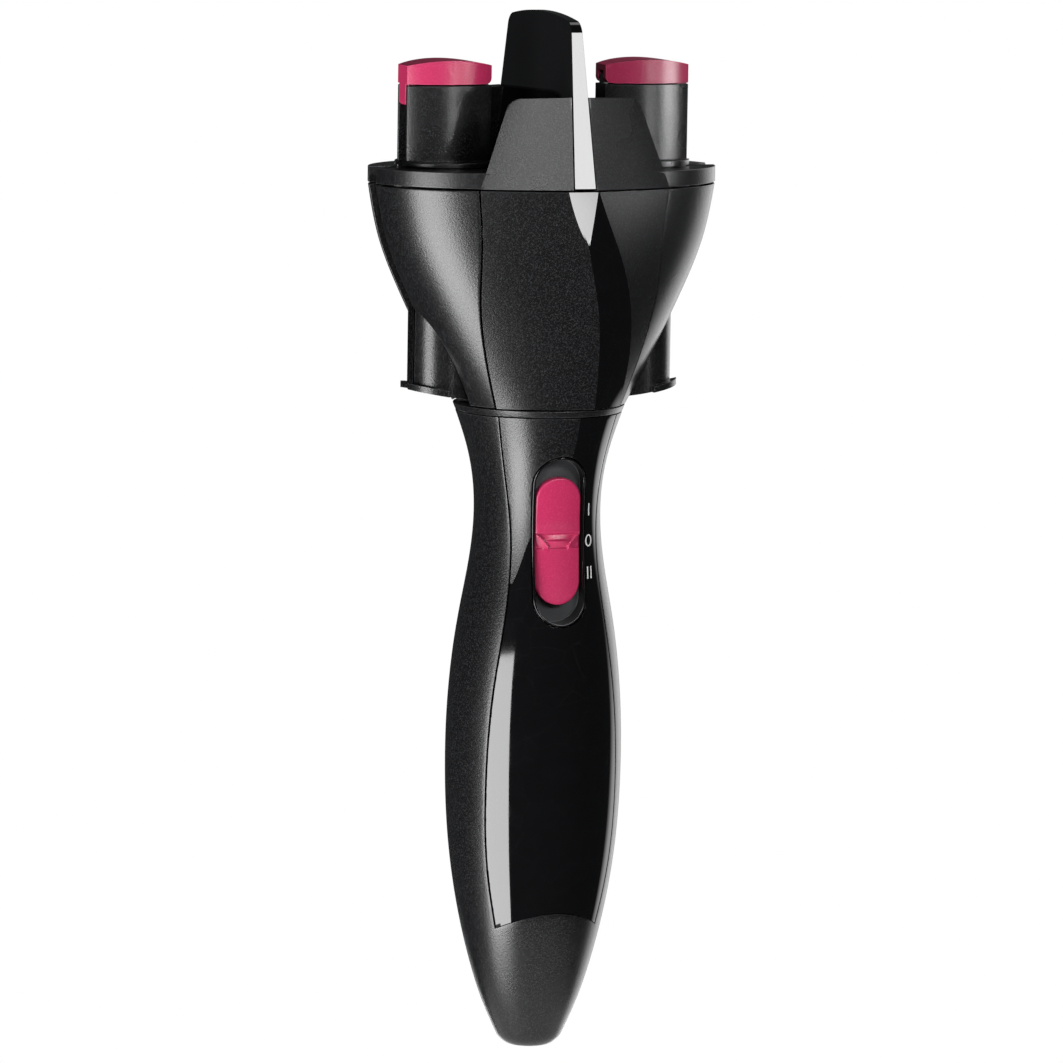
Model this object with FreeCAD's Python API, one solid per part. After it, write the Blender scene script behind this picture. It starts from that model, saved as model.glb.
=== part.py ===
import FreeCAD, Part
import math
import os

from FreeCAD import Vector

# Cordless automatic hair braider. Millimetres, +Z up, front towards -Y.
# The origin is on the handle's axis, in the small flat at the tip of the handle.

# ---- driving dimensions ----------------------------------------------------------------------

# shared fits and walls
WALL = 2.0  # moulded shell thickness
SEAM = 0.3  # gap between two mouldings that meet
RUN = 0.3  # gap between parts that move past each other
FIT = 0.06  # radial clearance of a journal in its bore

# handle, an oval body that swells at the palm and narrows under the head
TIP_RADIUS = 4.6
TIP_ROUND = 2.4
BELLY_Z = 70.0
BELLY_HALF_WIDTH = 21.9
BELLY_HALF_DEPTH = 20.6
NECK_Z = 135.0
NECK_HALF_WIDTH = 15.4
NECK_HALF_DEPTH = 17.0
COLLAR_Z = 160.4
COLLAR_RADIUS = 21.2

# glossy front panel, let into the front of the handle
PANEL_TOP_HALF = 15.1
PANEL_NECK_HALF = 10.9
PANEL_BELLY_HALF = 16.75
PANEL_FOOT_HALF = 12.9
PANEL_FOOT_Z = 31.8
PANEL_FOOT_ARCH = 4.0
PANEL_DROP = 1.9  # how far the panel and the shell end below the collar

# three-position slide switch
SWITCH_Z = 128.0
RECESS_WIDTH = 13.5
RECESS_LENGTH = 41.5
RECESS_WALL = 0.55
RECESS_FLOOR_Y = -13.6
BUTTON_WIDTH = 11.75
BUTTON_LENGTH = 31.3
BUTTON_FACE_Y = -15.9
BUTTON_TRAVEL = 4.2
BUTTON_RIDGE = 0.9
STEM_WIDTH = 4.0
STEM_LENGTH = 5.0
BEZEL_FLOOR = 1.2
BEZEL_TO_BLOCK = 0.3
BLOCK_GRIP = 1.6  # how deep the stem reaches into the switch block
BLOCK_WIDTH = 9.0
BLOCK_LENGTH = 20.0
BLOCK_DEPTH = 2.8

# batteries and their door
CELL_RADIUS = 7.25
CELL_LENGTH = 49.2
CELL_NIPPLE = 1.3
CELL_Z = 37.0
CELL_Y = 2.0
DOOR_HALF_WIDTH = 13.5
DOOR_Z = 30.0
DOOR_LENGTH = 63.0
DOOR_CORNER = 4.0
BAY_FLOOR_DEPTH = 12.0  # how far the hollow reaches below the door
SPRING_FOOT_RADIUS = 4.4
SPRING_TOP_RADIUS = 2.8
SPRING_WALL = 0.8
CONTACT_GAP = 3.2
TRAY_END = 1.4
GRIP_COUNT = 4
GRIP_WIDTH = 1.3
GRIP_HALF = 6.5
GRIP_DEPTH = 0.6

# gearmotor
MOTOR_WIDTH = 20.4
MOTOR_DEPTH = 15.4
MOTOR_Z = 104.0
MOTOR_LENGTH = 30.0
GEARBOX_RADIUS = 9.0
GEARBOX_LENGTH = 21.0
GEARBOX_FLANGE = 2.0
SHAFT_ENGAGEMENT = 8.0
SHAFT_RADIUS = 2.0

# head bearing
SPIGOT_RADIUS = 12.0
SPIGOT_WALL = 2.2
BUSH_WALL = 1.5
BUSH_LENGTH = 10.0
RING_HEIGHT = 1.1
RING_PROUD = 1.6
RING_GROOVE = 0.9

# head, a tulip of two prow-shaped petals and two wings, with a flat crown on top
TULIP_HEIGHT = 54.2
WAIST_HEIGHT = 26.3
HEAD_FOOT_RADIUS = 21.3
WAIST_HALF_WIDTH = 35.2
WAIST_HALF_DEPTH = 25.5
CROWN_HALF_WIDTH = 44.1
CROWN_HALF_DEPTH = 27.5
DECK_HEIGHT = 3.8
DECK_SEAM = 0.5
CREST_HEIGHT = 22.6
CREST_TOP_HALF = 16.5
PETAL_TOP_HALF = 24.3
PETAL_WAIST_HALF = 22.3
PETAL_FOOT_HALF = 15.7
PROW_TOP_Y = 31.0
PROW_WAIST_Y = 27.4
PROW_FOOT_Y = 20.9
PROW_DRIFT = 7.1
PETAL_PROUD = 0.25  # how far a petal's edge stands out over the wing beside it
SHELF_DEPTH = 17.4
SHELF_HEIGHT = 1.8
HUB_FLOOR = 2.4
HUB_POST_Y = 14.5
HUB_POST_RADIUS = 3.4
SCREW_RADIUS = 1.25
SCREW_HEAD_RADIUS = 2.4

# fin
FIN_FOOT_HALF = 2.7
FIN_TOP_HALF = 1.25
FIN_FOOT_Y = 30.5
FIN_TOP_Y = 22.3
FIN_HEIGHT = 39.7
FIN_ARCH = 1.9
FIN_CORNER = 3.2
FIN_SEAT = 0.15
FIN_TONGUE = 1.2  # how far the fin's foot reaches over the deck's rim

# twisters and their gear train
TWISTER_X = 25.6
SUN_TEETH = 24
IDLER_TEETH = 12
TWISTER_TEETH = 28
BACKLASH = 0.16
TRAIN_CLOSURE = 11 * 180.0  # half turns of tooth phase at which the gear loop closes
GEAR_HEIGHT = 4.0
CARRIER_DEPTH = 12.4
CARRIER_HEIGHT = 2.5
PIN_RADIUS = 1.5
SLOT = 5.4
SLEEVE_WALL = 1.5
SLEEVE_RADIUS = 8.2
JOURNAL_RADIUS = 11.3
FLANGE_RADIUS = 12.0
FLANGE_HEIGHT = 1.2
POST_HALF_LENGTH = 10.85
POST_SIDE_HALF = 3.5
POST_MIDDLE_HALF = 6.75
POST_HEIGHT = 18.4
POST_WEB = 3.8

# hair clips on the twisters
CLIP_HEIGHT = 4.5
CLIP_ARCH = 1.3
CLIP_LEG = 2.6
CLIP_LEG_LENGTH = 4.9
LEG_TOE = 1.0
HINGE_INSET = 1.5
HINGE_PIN_RADIUS = 0.7
HINGE_CHEEK = 0.5
TONGUE_HALF = 1.6

# hair guides under the wings
GUIDE_SLANT = 2.8
GUIDE_LIP = 1.6
GUIDE_LIP_HEIGHT = 1.5

# larger than the whole braider, for cutting tools
REACH = 60.0

# ---- levels that follow from them ------------------------------------------------------------

HEAD_Z = COLLAR_Z + RUN
WAIST_Z = HEAD_Z + WAIST_HEIGHT
DECK_Z = HEAD_Z + TULIP_HEIGHT
DECK_TOP_Z = DECK_Z + DECK_HEIGHT
HEAD_TOP_Z = DECK_Z - DECK_SEAM
FIN_SHOULDER_Z = DECK_Z + FIN_HEIGHT
CARRIER_Z = DECK_Z - CARRIER_DEPTH
CARRIER_TOP_Z = CARRIER_Z + CARRIER_HEIGHT
SLEEVE_FOOT_Z = CARRIER_TOP_Z + RUN
GEAR_Z = SLEEVE_FOOT_Z + 1.0
POST_FOOT_Z = DECK_TOP_Z + RUN + FLANGE_HEIGHT
POST_TOP_Z = POST_FOOT_Z + POST_HEIGHT
CLIP_LEG_Z = POST_TOP_Z - CLIP_LEG_LENGTH
GUIDE_INNER_Z = HEAD_Z + 3 * RUN
GUIDE_OUTER_Z = GUIDE_INNER_Z + GUIDE_SLANT
BODY_TOP_Z = COLLAR_Z - PANEL_DROP
BLOCK_Y = RECESS_FLOOR_Y + BEZEL_FLOOR + BEZEL_TO_BLOCK
CELL_X = CELL_RADIUS + 0.35
CELL_TOP_Z = CELL_Z + CELL_LENGTH + CELL_NIPPLE
TRAY_Z = CELL_Z - CONTACT_GAP - TRAY_END - 0.2
TRAY_TOP_Z = CELL_TOP_Z + CONTACT_GAP - 0.6
GEARBOX_Z = MOTOR_Z + MOTOR_LENGTH
GEARBOX_TOP_Z = GEARBOX_Z + GEARBOX_LENGTH
SHAFT_FOOT_Z = GEARBOX_TOP_Z - SHAFT_ENGAGEMENT
RING_Z = COLLAR_Z - BUSH_LENGTH - RUN - RING_HEIGHT
SPIGOT_FOOT_Z = RING_Z - 1.2
SHELF_Z = DECK_Z - SHELF_DEPTH
CREST_TOP_Z = DECK_Z + CREST_HEIGHT
HINGE_X = TWISTER_X - POST_HALF_LENGTH + HINGE_INSET
HINGE_Z = POST_TOP_Z + RUN + HINGE_INSET
CLIP_SHOULDER_Z = POST_TOP_Z + RUN + CLIP_HEIGHT

# ---- helpers ---------------------------------------------------------------------------------


OVAL_POINTS = 16


def box(x0, x1, y0, y1, z0, z1):
    return Part.makeBox(x1 - x0, y1 - y0, z1 - z0, Vector(x0, y0, z0))


def slab(z0, z1):
    """Everything between two heights."""
    return box(-REACH, REACH, -REACH, REACH, z0, z1)


def rod(radius, z0, z1, x=0.0, y=0.0):
    return Part.makeCylinder(radius, z1 - z0, Vector(x, y, z0))


def tube(outer, inner, z0, z1, x=0.0, y=0.0):
    return rod(outer, z0, z1, x, y).cut(rod(inner, z0, z1, x, y))


def half_turn(shape):
    """The same part on the other side of the head, turned half round about the Z axis."""
    turned = shape.copy()
    turned.rotate(Vector(0, 0, 0), Vector(0, 0, 1), 180)
    return turned


def oval_wire(z, half_x, half_y):
    """An oval outline at height z, a smooth closed curve that starts on the +X side."""
    points = []
    for step in range(OVAL_POINTS):
        angle = 2 * math.pi * step / OVAL_POINTS
        points.append(Vector(half_x * math.cos(angle), half_y * math.sin(angle), z))
    shares = [step / OVAL_POINTS for step in range(OVAL_POINTS + 1)]
    curve = Part.BSplineCurve()
    curve.interpolate(Points=points, PeriodicFlag=True, Parameters=shares)
    return Part.Wire(curve.toShape())


def loft(wires):
    return Part.makeLoft(wires, True, False)


def blend(low, high, share):
    return low + (high - low) * share


def spline_edge(points):
    curve = Part.BSplineCurve()
    curve.interpolate(points)
    return curve.toShape()


def front_prism(right_points, foot_arch, y0, y1):
    """Solid with a front-view outline: a curved right side, the same mirrored, a flat top."""
    right = [Vector(x, y0, z) for x, z in right_points]
    left = [Vector(-x, y0, z) for x, z in right_points]
    foot_middle = Vector(0, y0, right_points[-1][1] + foot_arch)
    edges = [spline_edge(right)]
    if abs(foot_arch) > 0.01:
        edges.append(Part.Arc(right[-1], foot_middle, left[-1]).toShape())
    else:
        edges.append(Part.makeLine(right[-1], left[-1]))
    edges.append(spline_edge(list(reversed(left))))
    edges.append(Part.makeLine(left[0], right[0]))
    face = Part.Face(Part.Wire(Part.__sortEdges__(edges)))
    return face.extrude(Vector(0, y1 - y0, 0))


def stadium_prism(width, length, z_middle, y0, y1):
    """Solid with a front-view outline of two half rounds joined by straight sides."""
    radius = width / 2
    reach = length / 2 - radius
    middle = box(-radius, radius, y0, y1, z_middle - reach, z_middle + reach)
    for z in (z_middle - reach, z_middle + reach):
        end = Part.makeCylinder(radius, y1 - y0, Vector(0, y0, z), Vector(0, 1, 0))
        middle = middle.fuse(end)
    return middle.removeSplitter()


def save(name, shape):
    shape.exportStep("parts/" + name + ".step")


# ---- handle ----------------------------------------------------------------------------------


def handle_stations():
    """Height, half width and half depth of the handle, from the tip to the collar."""
    low = BELLY_Z
    rise = COLLAR_Z - NECK_Z
    fall = NECK_Z - BELLY_Z
    swell_w = BELLY_HALF_WIDTH
    swell_d = BELLY_HALF_DEPTH
    neck_w = NECK_HALF_WIDTH
    neck_d = NECK_HALF_DEPTH
    return [
        (TIP_ROUND, TIP_RADIUS + 0.9 * TIP_ROUND, TIP_RADIUS + 0.8 * TIP_ROUND),
        (0.14 * low, swell_w * 0.52, swell_d * 0.49),
        (0.30 * low, swell_w * 0.695, swell_d * 0.64),
        (0.52 * low, swell_w * 0.86, swell_d * 0.82),
        (0.76 * low, swell_w * 0.965, swell_d * 0.945),
        (low, swell_w, swell_d),
        (low + 0.28 * fall, blend(swell_w, neck_w, 0.08), blend(swell_d, neck_d, 0.04)),
        (low + 0.58 * fall, blend(swell_w, neck_w, 0.44), blend(swell_d, neck_d, 0.40)),
        (low + 0.80 * fall, blend(swell_w, neck_w, 0.85), blend(swell_d, neck_d, 0.85)),
        (NECK_Z, neck_w, neck_d),
        (NECK_Z + 0.5 * rise, blend(neck_w, COLLAR_RADIUS, 0.28), blend(neck_d, COLLAR_RADIUS, 0.26)),
        (COLLAR_Z, COLLAR_RADIUS, COLLAR_RADIUS),
    ]


def handle_form(inset):
    """The handle as a solid, made smaller all round by the inset."""
    wires = [oval_wire(z, w - inset, d - inset) for z, w, d in handle_stations()]
    return loft(wires)


def handle_tip():
    """Rounded end below the lowest station, with the small flat that the handle can stand on."""
    z, half_width, half_depth = handle_stations()[0]
    flat = oval_wire(0, TIP_RADIUS, TIP_RADIUS * 0.94)
    round_width = blend(TIP_RADIUS, half_width, 0.52)
    round_edge = oval_wire(0.25 * z, round_width, blend(TIP_RADIUS, half_depth, 0.5))
    return loft([flat, round_edge, oval_wire(z, half_width, half_depth)])


def panel_outline(grow):
    """Half widths of the front panel down the handle."""
    return [
        (PANEL_TOP_HALF + grow, BODY_TOP_Z + 1.0 * (grow > 0)),
        (blend(PANEL_NECK_HALF, PANEL_TOP_HALF, 0.24) + grow, blend(NECK_Z, BODY_TOP_Z, 0.25)),
        (PANEL_NECK_HALF + grow, NECK_Z - 6.0),
        (blend(PANEL_NECK_HALF, PANEL_BELLY_HALF, 0.75) + grow, blend(BELLY_Z, NECK_Z, 0.34)),
        (PANEL_BELLY_HALF + grow, BELLY_Z - 3.0),
        (blend(PANEL_FOOT_HALF, PANEL_BELLY_HALF, 0.6) + grow, blend(PANEL_FOOT_Z, BELLY_Z, 0.31)),
        (PANEL_FOOT_HALF + grow, PANEL_FOOT_Z - grow),
    ]


def panel_prism(grow):
    return front_prism(panel_outline(grow), PANEL_FOOT_ARCH, -REACH, 0.0)


def door_prism(grow):
    corner = DOOR_CORNER + grow
    half = DOOR_HALF_WIDTH + grow
    shape = box(-half, half, 0.0, REACH, DOOR_Z - grow, DOOR_Z + DOOR_LENGTH + grow)
    upright = [e for e in shape.Edges if abs(e.tangentAt(e.FirstParameter).y) > 0.99]
    return shape.makeFillet(corner, upright)


outer_form = handle_form(0.0)
wall_form = handle_form(WALL)
inner_fit = handle_form(WALL + SEAM)
hollow_space = slab(DOOR_Z - BAY_FLOOR_DEPTH, COLLAR_Z)
below_collar = slab(-1.0, BODY_TOP_Z)


def handle_body():
    solid = outer_form.fuse(handle_tip()).removeSplitter().common(below_collar)
    solid = solid.cut(wall_form.common(hollow_space))
    solid = solid.cut(panel_prism(SEAM))
    solid = solid.cut(door_prism(SEAM))
    return solid


def front_panel():
    shell = outer_form.cut(wall_form).common(panel_prism(0.0)).common(below_collar)
    window = stadium_prism(RECESS_WIDTH + 2 * SEAM, RECESS_LENGTH + 2 * SEAM, SWITCH_Z, -REACH, 0.0)
    return shell.cut(window)


def battery_door():
    """Rear cover that lifts off the batteries, with shallow grip grooves near its top."""
    shell = outer_form.cut(wall_form).common(door_prism(0.0))
    skin = outer_form.cut(handle_form(GRIP_DEPTH))
    for index in range(GRIP_COUNT):
        z = DOOR_Z + DOOR_LENGTH - 8.0 - 2 * GRIP_WIDTH * index
        band = box(-GRIP_HALF, GRIP_HALF, 0.0, REACH, z - GRIP_WIDTH, z)
        shell = shell.cut(skin.common(band))
    return shell


def neck_ring():
    """Ring that closes the top of the handle and holds the head's bearing."""
    flange_foot = BODY_TOP_Z + 0.2
    collar = outer_form.common(slab(flange_foot, COLLAR_Z))
    plug = inner_fit.common(slab(COLLAR_Z - BUSH_LENGTH, flange_foot))
    bore = rod(SPIGOT_RADIUS + FIT + BUSH_WALL, 0.0, HEAD_Z)
    return collar.fuse(plug).cut(bore).removeSplitter()


def bearing_bush():
    inner = SPIGOT_RADIUS + FIT
    return tube(inner + BUSH_WALL, inner, COLLAR_Z - BUSH_LENGTH, COLLAR_Z)


# ---- switch ----------------------------------------------------------------------------------

def switch_bezel():
    cup = stadium_prism(RECESS_WIDTH, RECESS_LENGTH, SWITCH_Z, -REACH, RECESS_FLOOR_Y + BEZEL_FLOOR)
    cup = cup.common(outer_form)
    wide = RECESS_WIDTH - 2 * RECESS_WALL
    long = RECESS_LENGTH - 2 * RECESS_WALL
    hollow = stadium_prism(wide, long, SWITCH_Z, -REACH, RECESS_FLOOR_Y)
    half = STEM_WIDTH / 2 + RUN
    reach = STEM_LENGTH / 2 + BUTTON_TRAVEL + RUN
    slot = box(-half, half, -REACH, 0.0, SWITCH_Z - reach, SWITCH_Z + reach)
    return cup.cut(hollow).cut(slot)


def slider_button():
    foot_y = RECESS_FLOOR_Y - RUN
    cap = stadium_prism(BUTTON_WIDTH, BUTTON_LENGTH, SWITCH_Z, BUTTON_FACE_Y, foot_y)
    front = [e for e in cap.Edges if e.BoundBox.YMax < BUTTON_FACE_Y + 0.01]
    cap = cap.makeFillet(0.5, front)
    ridge = grip_ridge()
    half = STEM_WIDTH / 2
    reach = STEM_LENGTH / 2
    stem = box(-half, half, foot_y - 0.5, BLOCK_Y + BLOCK_GRIP, SWITCH_Z - reach, SWITCH_Z + reach)
    return cap.fuse(ridge).fuse(stem).removeSplitter()


def grip_ridge():
    """Bow-tie ridge across the middle of the button, with a finger notch in its top."""
    half = BUTTON_WIDTH / 2 - 0.4
    back = BUTTON_FACE_Y + 0.8
    crest = BUTTON_FACE_Y - BUTTON_RIDGE
    side = [
        Vector(-half, back, SWITCH_Z - 3.2),
        Vector(-half, crest, SWITCH_Z - 0.7),
        Vector(-half, crest, SWITCH_Z + 0.7),
        Vector(-half, back, SWITCH_Z + 3.2),
    ]
    profile = Part.Face(Part.makePolygon(side + side[:1]))
    ridge = profile.extrude(Vector(2 * half, 0, 0))
    notch = Part.makeCylinder(6.0, 4.0, Vector(0, crest - 5.4, SWITCH_Z - 2.0), Vector(0, 0, 1))
    return ridge.cut(notch)


def switch_block():
    half = BLOCK_WIDTH / 2
    reach = BLOCK_LENGTH / 2
    body = box(-half, half, BLOCK_Y, BLOCK_Y + BLOCK_DEPTH, SWITCH_Z - reach, SWITCH_Z + reach)
    pocket_half = STEM_WIDTH / 2 + RUN
    pocket_reach = STEM_LENGTH / 2 + BUTTON_TRAVEL + RUN
    pocket_back = BLOCK_Y + BLOCK_GRIP + RUN
    low = SWITCH_Z - pocket_reach
    pocket = box(-pocket_half, pocket_half, BLOCK_Y, pocket_back, low, low + 2 * pocket_reach)
    return body.cut(pocket)


# ---- batteries and motor ---------------------------------------------------------------------

def battery_tray():
    back = CELL_Y - 0.5
    front = CELL_Y - CELL_RADIUS - 2.2
    block = box(-REACH, REACH, front, back, TRAY_Z, TRAY_TOP_Z).common(inner_fit)
    for x in (-CELL_X, CELL_X):
        block = block.cut(rod(CELL_RADIUS + SEAM, TRAY_Z + TRAY_END, TRAY_TOP_Z - TRAY_END, x, CELL_Y))
    return block


def battery_cell(x, flip):
    """One AA cell. The second one lies the other way up, as in every two-cell holder."""
    cell = rod(CELL_RADIUS, 0, CELL_LENGTH)
    cell = cell.makeFillet(0.6, [e for e in cell.Edges if e.Curve.TypeId == "Part::GeomCircle"])
    cell = cell.fuse(rod(2.6, CELL_LENGTH - 0.2, CELL_LENGTH + CELL_NIPPLE))
    if flip:
        cell.rotate(Vector(0, 0, (CELL_LENGTH + CELL_NIPPLE) / 2), Vector(1, 0, 0), 180)
    cell.translate(Vector(x, CELL_Y, CELL_Z))
    return cell


def contact_springs():
    """One coned spring per cell, at its flat end."""
    lower = TRAY_Z + TRAY_END + 0.1
    upper = TRAY_TOP_Z - TRAY_END - 0.1
    left = coned_spring(-CELL_X, lower, CELL_Z - 0.1)
    right = coned_spring(CELL_X, upper, CELL_TOP_Z + 0.1)
    return Part.Compound([left, right])


def coned_spring(x, foot_z, top_z):
    """A close-wound cone that narrows from its foot to the cell."""
    direction = Vector(0, 0, 1 if top_z > foot_z else -1)
    reach = abs(top_z - foot_z)
    place = Vector(x, CELL_Y, foot_z)
    cone = Part.makeCone(SPRING_FOOT_RADIUS, SPRING_TOP_RADIUS, reach, place, direction)
    foot_hole = SPRING_FOOT_RADIUS - SPRING_WALL
    return cone.cut(Part.makeCone(foot_hole, SPRING_TOP_RADIUS - SPRING_WALL, reach, place, direction))


def gear_motor():
    half = MOTOR_WIDTH / 2
    can = rod(half, MOTOR_Z, GEARBOX_Z)
    can = can.common(box(-half, half, -MOTOR_DEPTH / 2, MOTOR_DEPTH / 2, MOTOR_Z, GEARBOX_Z))
    tail = rod(3.0, MOTOR_Z - 2.0, MOTOR_Z)
    return can.fuse(tail).removeSplitter()


def gearbox():
    can = rod(GEARBOX_RADIUS, GEARBOX_Z, GEARBOX_TOP_Z)
    half = GEARBOX_RADIUS
    flange_top = GEARBOX_Z + GEARBOX_FLANGE
    flange = box(-half, half, -MOTOR_DEPTH / 2, MOTOR_DEPTH / 2, GEARBOX_Z, flange_top)
    bore = rod(SHAFT_RADIUS + FIT, SHAFT_FOOT_Z - RUN, GEARBOX_TOP_Z)
    return can.fuse(flange).cut(bore).removeSplitter()


def motor_bracket():
    """Moulded cradle behind the motor that reaches the rear wall of the handle."""
    z0 = MOTOR_Z + 4.0
    z1 = GEARBOX_Z - 4.0
    body = inner_fit.common(box(-REACH, REACH, 0.5, REACH, z0, z1))
    slot = box(-MOTOR_WIDTH / 2 - SEAM, MOTOR_WIDTH / 2 + SEAM, -1.0, MOTOR_DEPTH / 2 + SEAM, z0, z1)
    window = box(-REACH, REACH, MOTOR_DEPTH / 2 + 2.0, REACH, z0 + 3.0, z1 - 3.0)
    return body.cut(slot).cut(window)


# ---- head shells -----------------------------------------------------------------------------


def wing_form(inset):
    """Oval body of the tulip, from the collar up to the crown."""
    low = blend(HEAD_Z, WAIST_Z, 0.45)
    low_half = blend(HEAD_FOOT_RADIUS, WAIST_HALF_WIDTH, 0.47)
    low_depth = blend(HEAD_FOOT_RADIUS, WAIST_HALF_DEPTH, 0.5)
    high = blend(WAIST_Z, DECK_Z, 0.5)
    high_half = blend(WAIST_HALF_WIDTH, CROWN_HALF_WIDTH, 0.66)
    high_depth = blend(WAIST_HALF_DEPTH, CROWN_HALF_DEPTH, 0.66)
    stations = [
        (HEAD_Z, HEAD_FOOT_RADIUS, HEAD_FOOT_RADIUS),
        (low, low_half, low_depth),
        (WAIST_Z, WAIST_HALF_WIDTH, WAIST_HALF_DEPTH),
        (high, high_half, high_depth),
        (DECK_Z, CROWN_HALF_WIDTH, CROWN_HALF_DEPTH),
    ]
    return loft([oval_wire(z, w - inset, d - inset) for z, w, d in stations])


def prow_wire(z, crease_x, crease_y, edge_x, edge_y, side_x):
    """Plan of both petals: two creases, front and rear, joined by four gentle arcs."""
    front = Vector(crease_x, -crease_y, z)
    rear = Vector(-crease_x, crease_y, z)
    right = Vector(side_x, 0, z)
    left = Vector(-side_x, 0, z)
    edges = [
        Part.Arc(right, Vector(edge_x, edge_y, z), rear).toShape(),
        Part.Arc(rear, Vector(-edge_x, edge_y, z), left).toShape(),
        Part.Arc(left, Vector(-edge_x, -edge_y, z), front).toShape(),
        Part.Arc(front, Vector(edge_x, -edge_y, z), right).toShape(),
    ]
    return Part.Wire(edges)


def oval_y(x, half_x, half_y):
    return half_y * math.sqrt(1.0 - (x / half_x) ** 2)


def prow_form(inset):
    """Body of the two petals below the crown. The crease drifts sideways on its way down."""
    high = blend(WAIST_Z, DECK_Z, 0.5)
    high_half = blend(WAIST_HALF_WIDTH, CROWN_HALF_WIDTH, 0.66)
    high_depth = blend(WAIST_HALF_DEPTH, CROWN_HALF_DEPTH, 0.66)
    high_edge = blend(PETAL_WAIST_HALF, PETAL_TOP_HALF, 0.35)
    high_crease = blend(PROW_WAIST_Y, PROW_TOP_Y, 0.56)

    def section(z, drift, crease, edge, half_x, half_y, spread):
        edge_y = oval_y(edge, half_x, half_y) + PETAL_PROUD
        return prow_wire(z, drift, crease - inset, edge, edge_y - inset, edge * spread - inset)

    foot_half = HEAD_FOOT_RADIUS
    foot = section(HEAD_Z, PROW_DRIFT, PROW_FOOT_Y, PETAL_FOOT_HALF, foot_half, foot_half, 1.75)
    waist_drift = 0.7 * PROW_DRIFT
    waist_edge = PETAL_WAIST_HALF
    waist = section(WAIST_Z, waist_drift, PROW_WAIST_Y, waist_edge, WAIST_HALF_WIDTH, WAIST_HALF_DEPTH, 2.2)
    upper = section(high, 0.27 * PROW_DRIFT, high_crease, high_edge, high_half, high_depth, 2.4)
    top = section(DECK_Z, 0.0, PROW_TOP_Y, PETAL_TOP_HALF, CROWN_HALF_WIDTH, CROWN_HALF_DEPTH, 2.5)
    return loft([foot, waist, upper, top])


def petal_outline(grow):
    return [
        (PETAL_TOP_HALF + grow, DECK_Z + 1.0),
        (blend(PETAL_WAIST_HALF, PETAL_TOP_HALF, 0.35) + grow, blend(WAIST_Z, DECK_Z, 0.5)),
        (PETAL_WAIST_HALF + grow, WAIST_Z),
        (blend(PETAL_FOOT_HALF, PETAL_WAIST_HALF, 0.6) + grow, blend(HEAD_Z, WAIST_Z, 0.47)),
        (PETAL_FOOT_HALF + grow, HEAD_Z - 1.0),
    ]


below_deck = slab(HEAD_Z, HEAD_TOP_Z)
guide_path = rod(SLEEVE_RADIUS + SEAM, HEAD_Z - 5.0, HEAD_TOP_Z + 1.0, TWISTER_X)
guide_paths = guide_path.fuse(half_turn(guide_path))


def prow_facet():
    """Narrow flat that carries the fin's front edge down onto the petal and runs out in a point."""
    high = blend(WAIST_Z, DECK_Z, 0.5)
    crease = blend(PROW_WAIST_Y, PROW_TOP_Y, 0.56)
    lean = math.degrees(math.atan2(FIN_FOOT_Y - crease, DECK_Z - high))
    block = box(-9, 9, -12, 0, -2, 40)
    block.rotate(Vector(0, 0, 0), Vector(1, 0, 0), lean)
    block.translate(Vector(0, -crease, high))
    return block


def front_petal():
    shell = prow_form(0.0).cut(prow_form(WALL)).common(below_deck)
    shell = shell.common(front_prism(petal_outline(0.0), 0.0, -REACH, 0.0))
    return shell.cut(prow_facet())


def right_wing():
    """One wing of the tulip, split by the hair slot and held together by an inner shelf."""
    shell = wing_form(0.0).cut(wing_form(WALL)).common(below_deck)
    shell = shell.cut(front_prism(petal_outline(SEAM), 0.0, -REACH, REACH))
    shell = shell.common(box(0.0, REACH, -REACH, REACH, HEAD_Z, HEAD_TOP_Z))
    inner_x = TWISTER_X - SLEEVE_RADIUS - 4.0
    shelf = wing_form(WALL / 2).common(box(inner_x, REACH, -REACH, REACH, SHELF_Z, SHELF_Z + SHELF_HEIGHT))
    shelf = shelf.common(prow_form(WALL + SEAM))
    wing = shell.fuse(shelf).cut(guide_paths)
    return wing.cut(hair_slot(HEAD_Z - 1, HEAD_TOP_Z + 1)).removeSplitter()


def hair_slot(z0, z1):
    """Cut that lets a strand of hair in from the right-hand side."""
    return box(TWISTER_X, REACH, -SLOT / 2, SLOT / 2, z0, z1)


def head_hub():
    """Floor of the head with the spigot that turns in the handle and two posts for the gears."""
    floor_radius = HEAD_FOOT_RADIUS - WALL - SEAM
    hub = rod(floor_radius, HEAD_Z, HEAD_Z + HUB_FLOOR).common(prow_form(WALL + SEAM))
    hub = hub.fuse(rod(SPIGOT_RADIUS, SPIGOT_FOOT_Z, HEAD_Z))
    for y in (-HUB_POST_Y, HUB_POST_Y):
        hub = hub.fuse(rod(HUB_POST_RADIUS, HEAD_Z, CARRIER_Z, 0.0, y))
    hub = hub.cut(rod(SPIGOT_RADIUS - SPIGOT_WALL, SPIGOT_FOOT_Z, HEAD_Z - 2.0))
    hub = hub.cut(rod(SHAFT_RADIUS + RUN, 0.0, DECK_Z))
    groove = tube(SPIGOT_RADIUS + 1, SPIGOT_RADIUS - RING_GROOVE, RING_Z, RING_Z + RING_HEIGHT)
    return hub.cut(groove).cut(guide_paths).removeSplitter()


def retaining_ring():
    outer = SPIGOT_RADIUS + RING_PROUD
    ring = tube(outer, SPIGOT_RADIUS - RING_GROOVE, RING_Z, RING_Z + RING_HEIGHT)
    return ring.cut(box(-2.5, 2.5, 0.0, 30.0, RING_Z - 1, RING_Z + 3))


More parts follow.
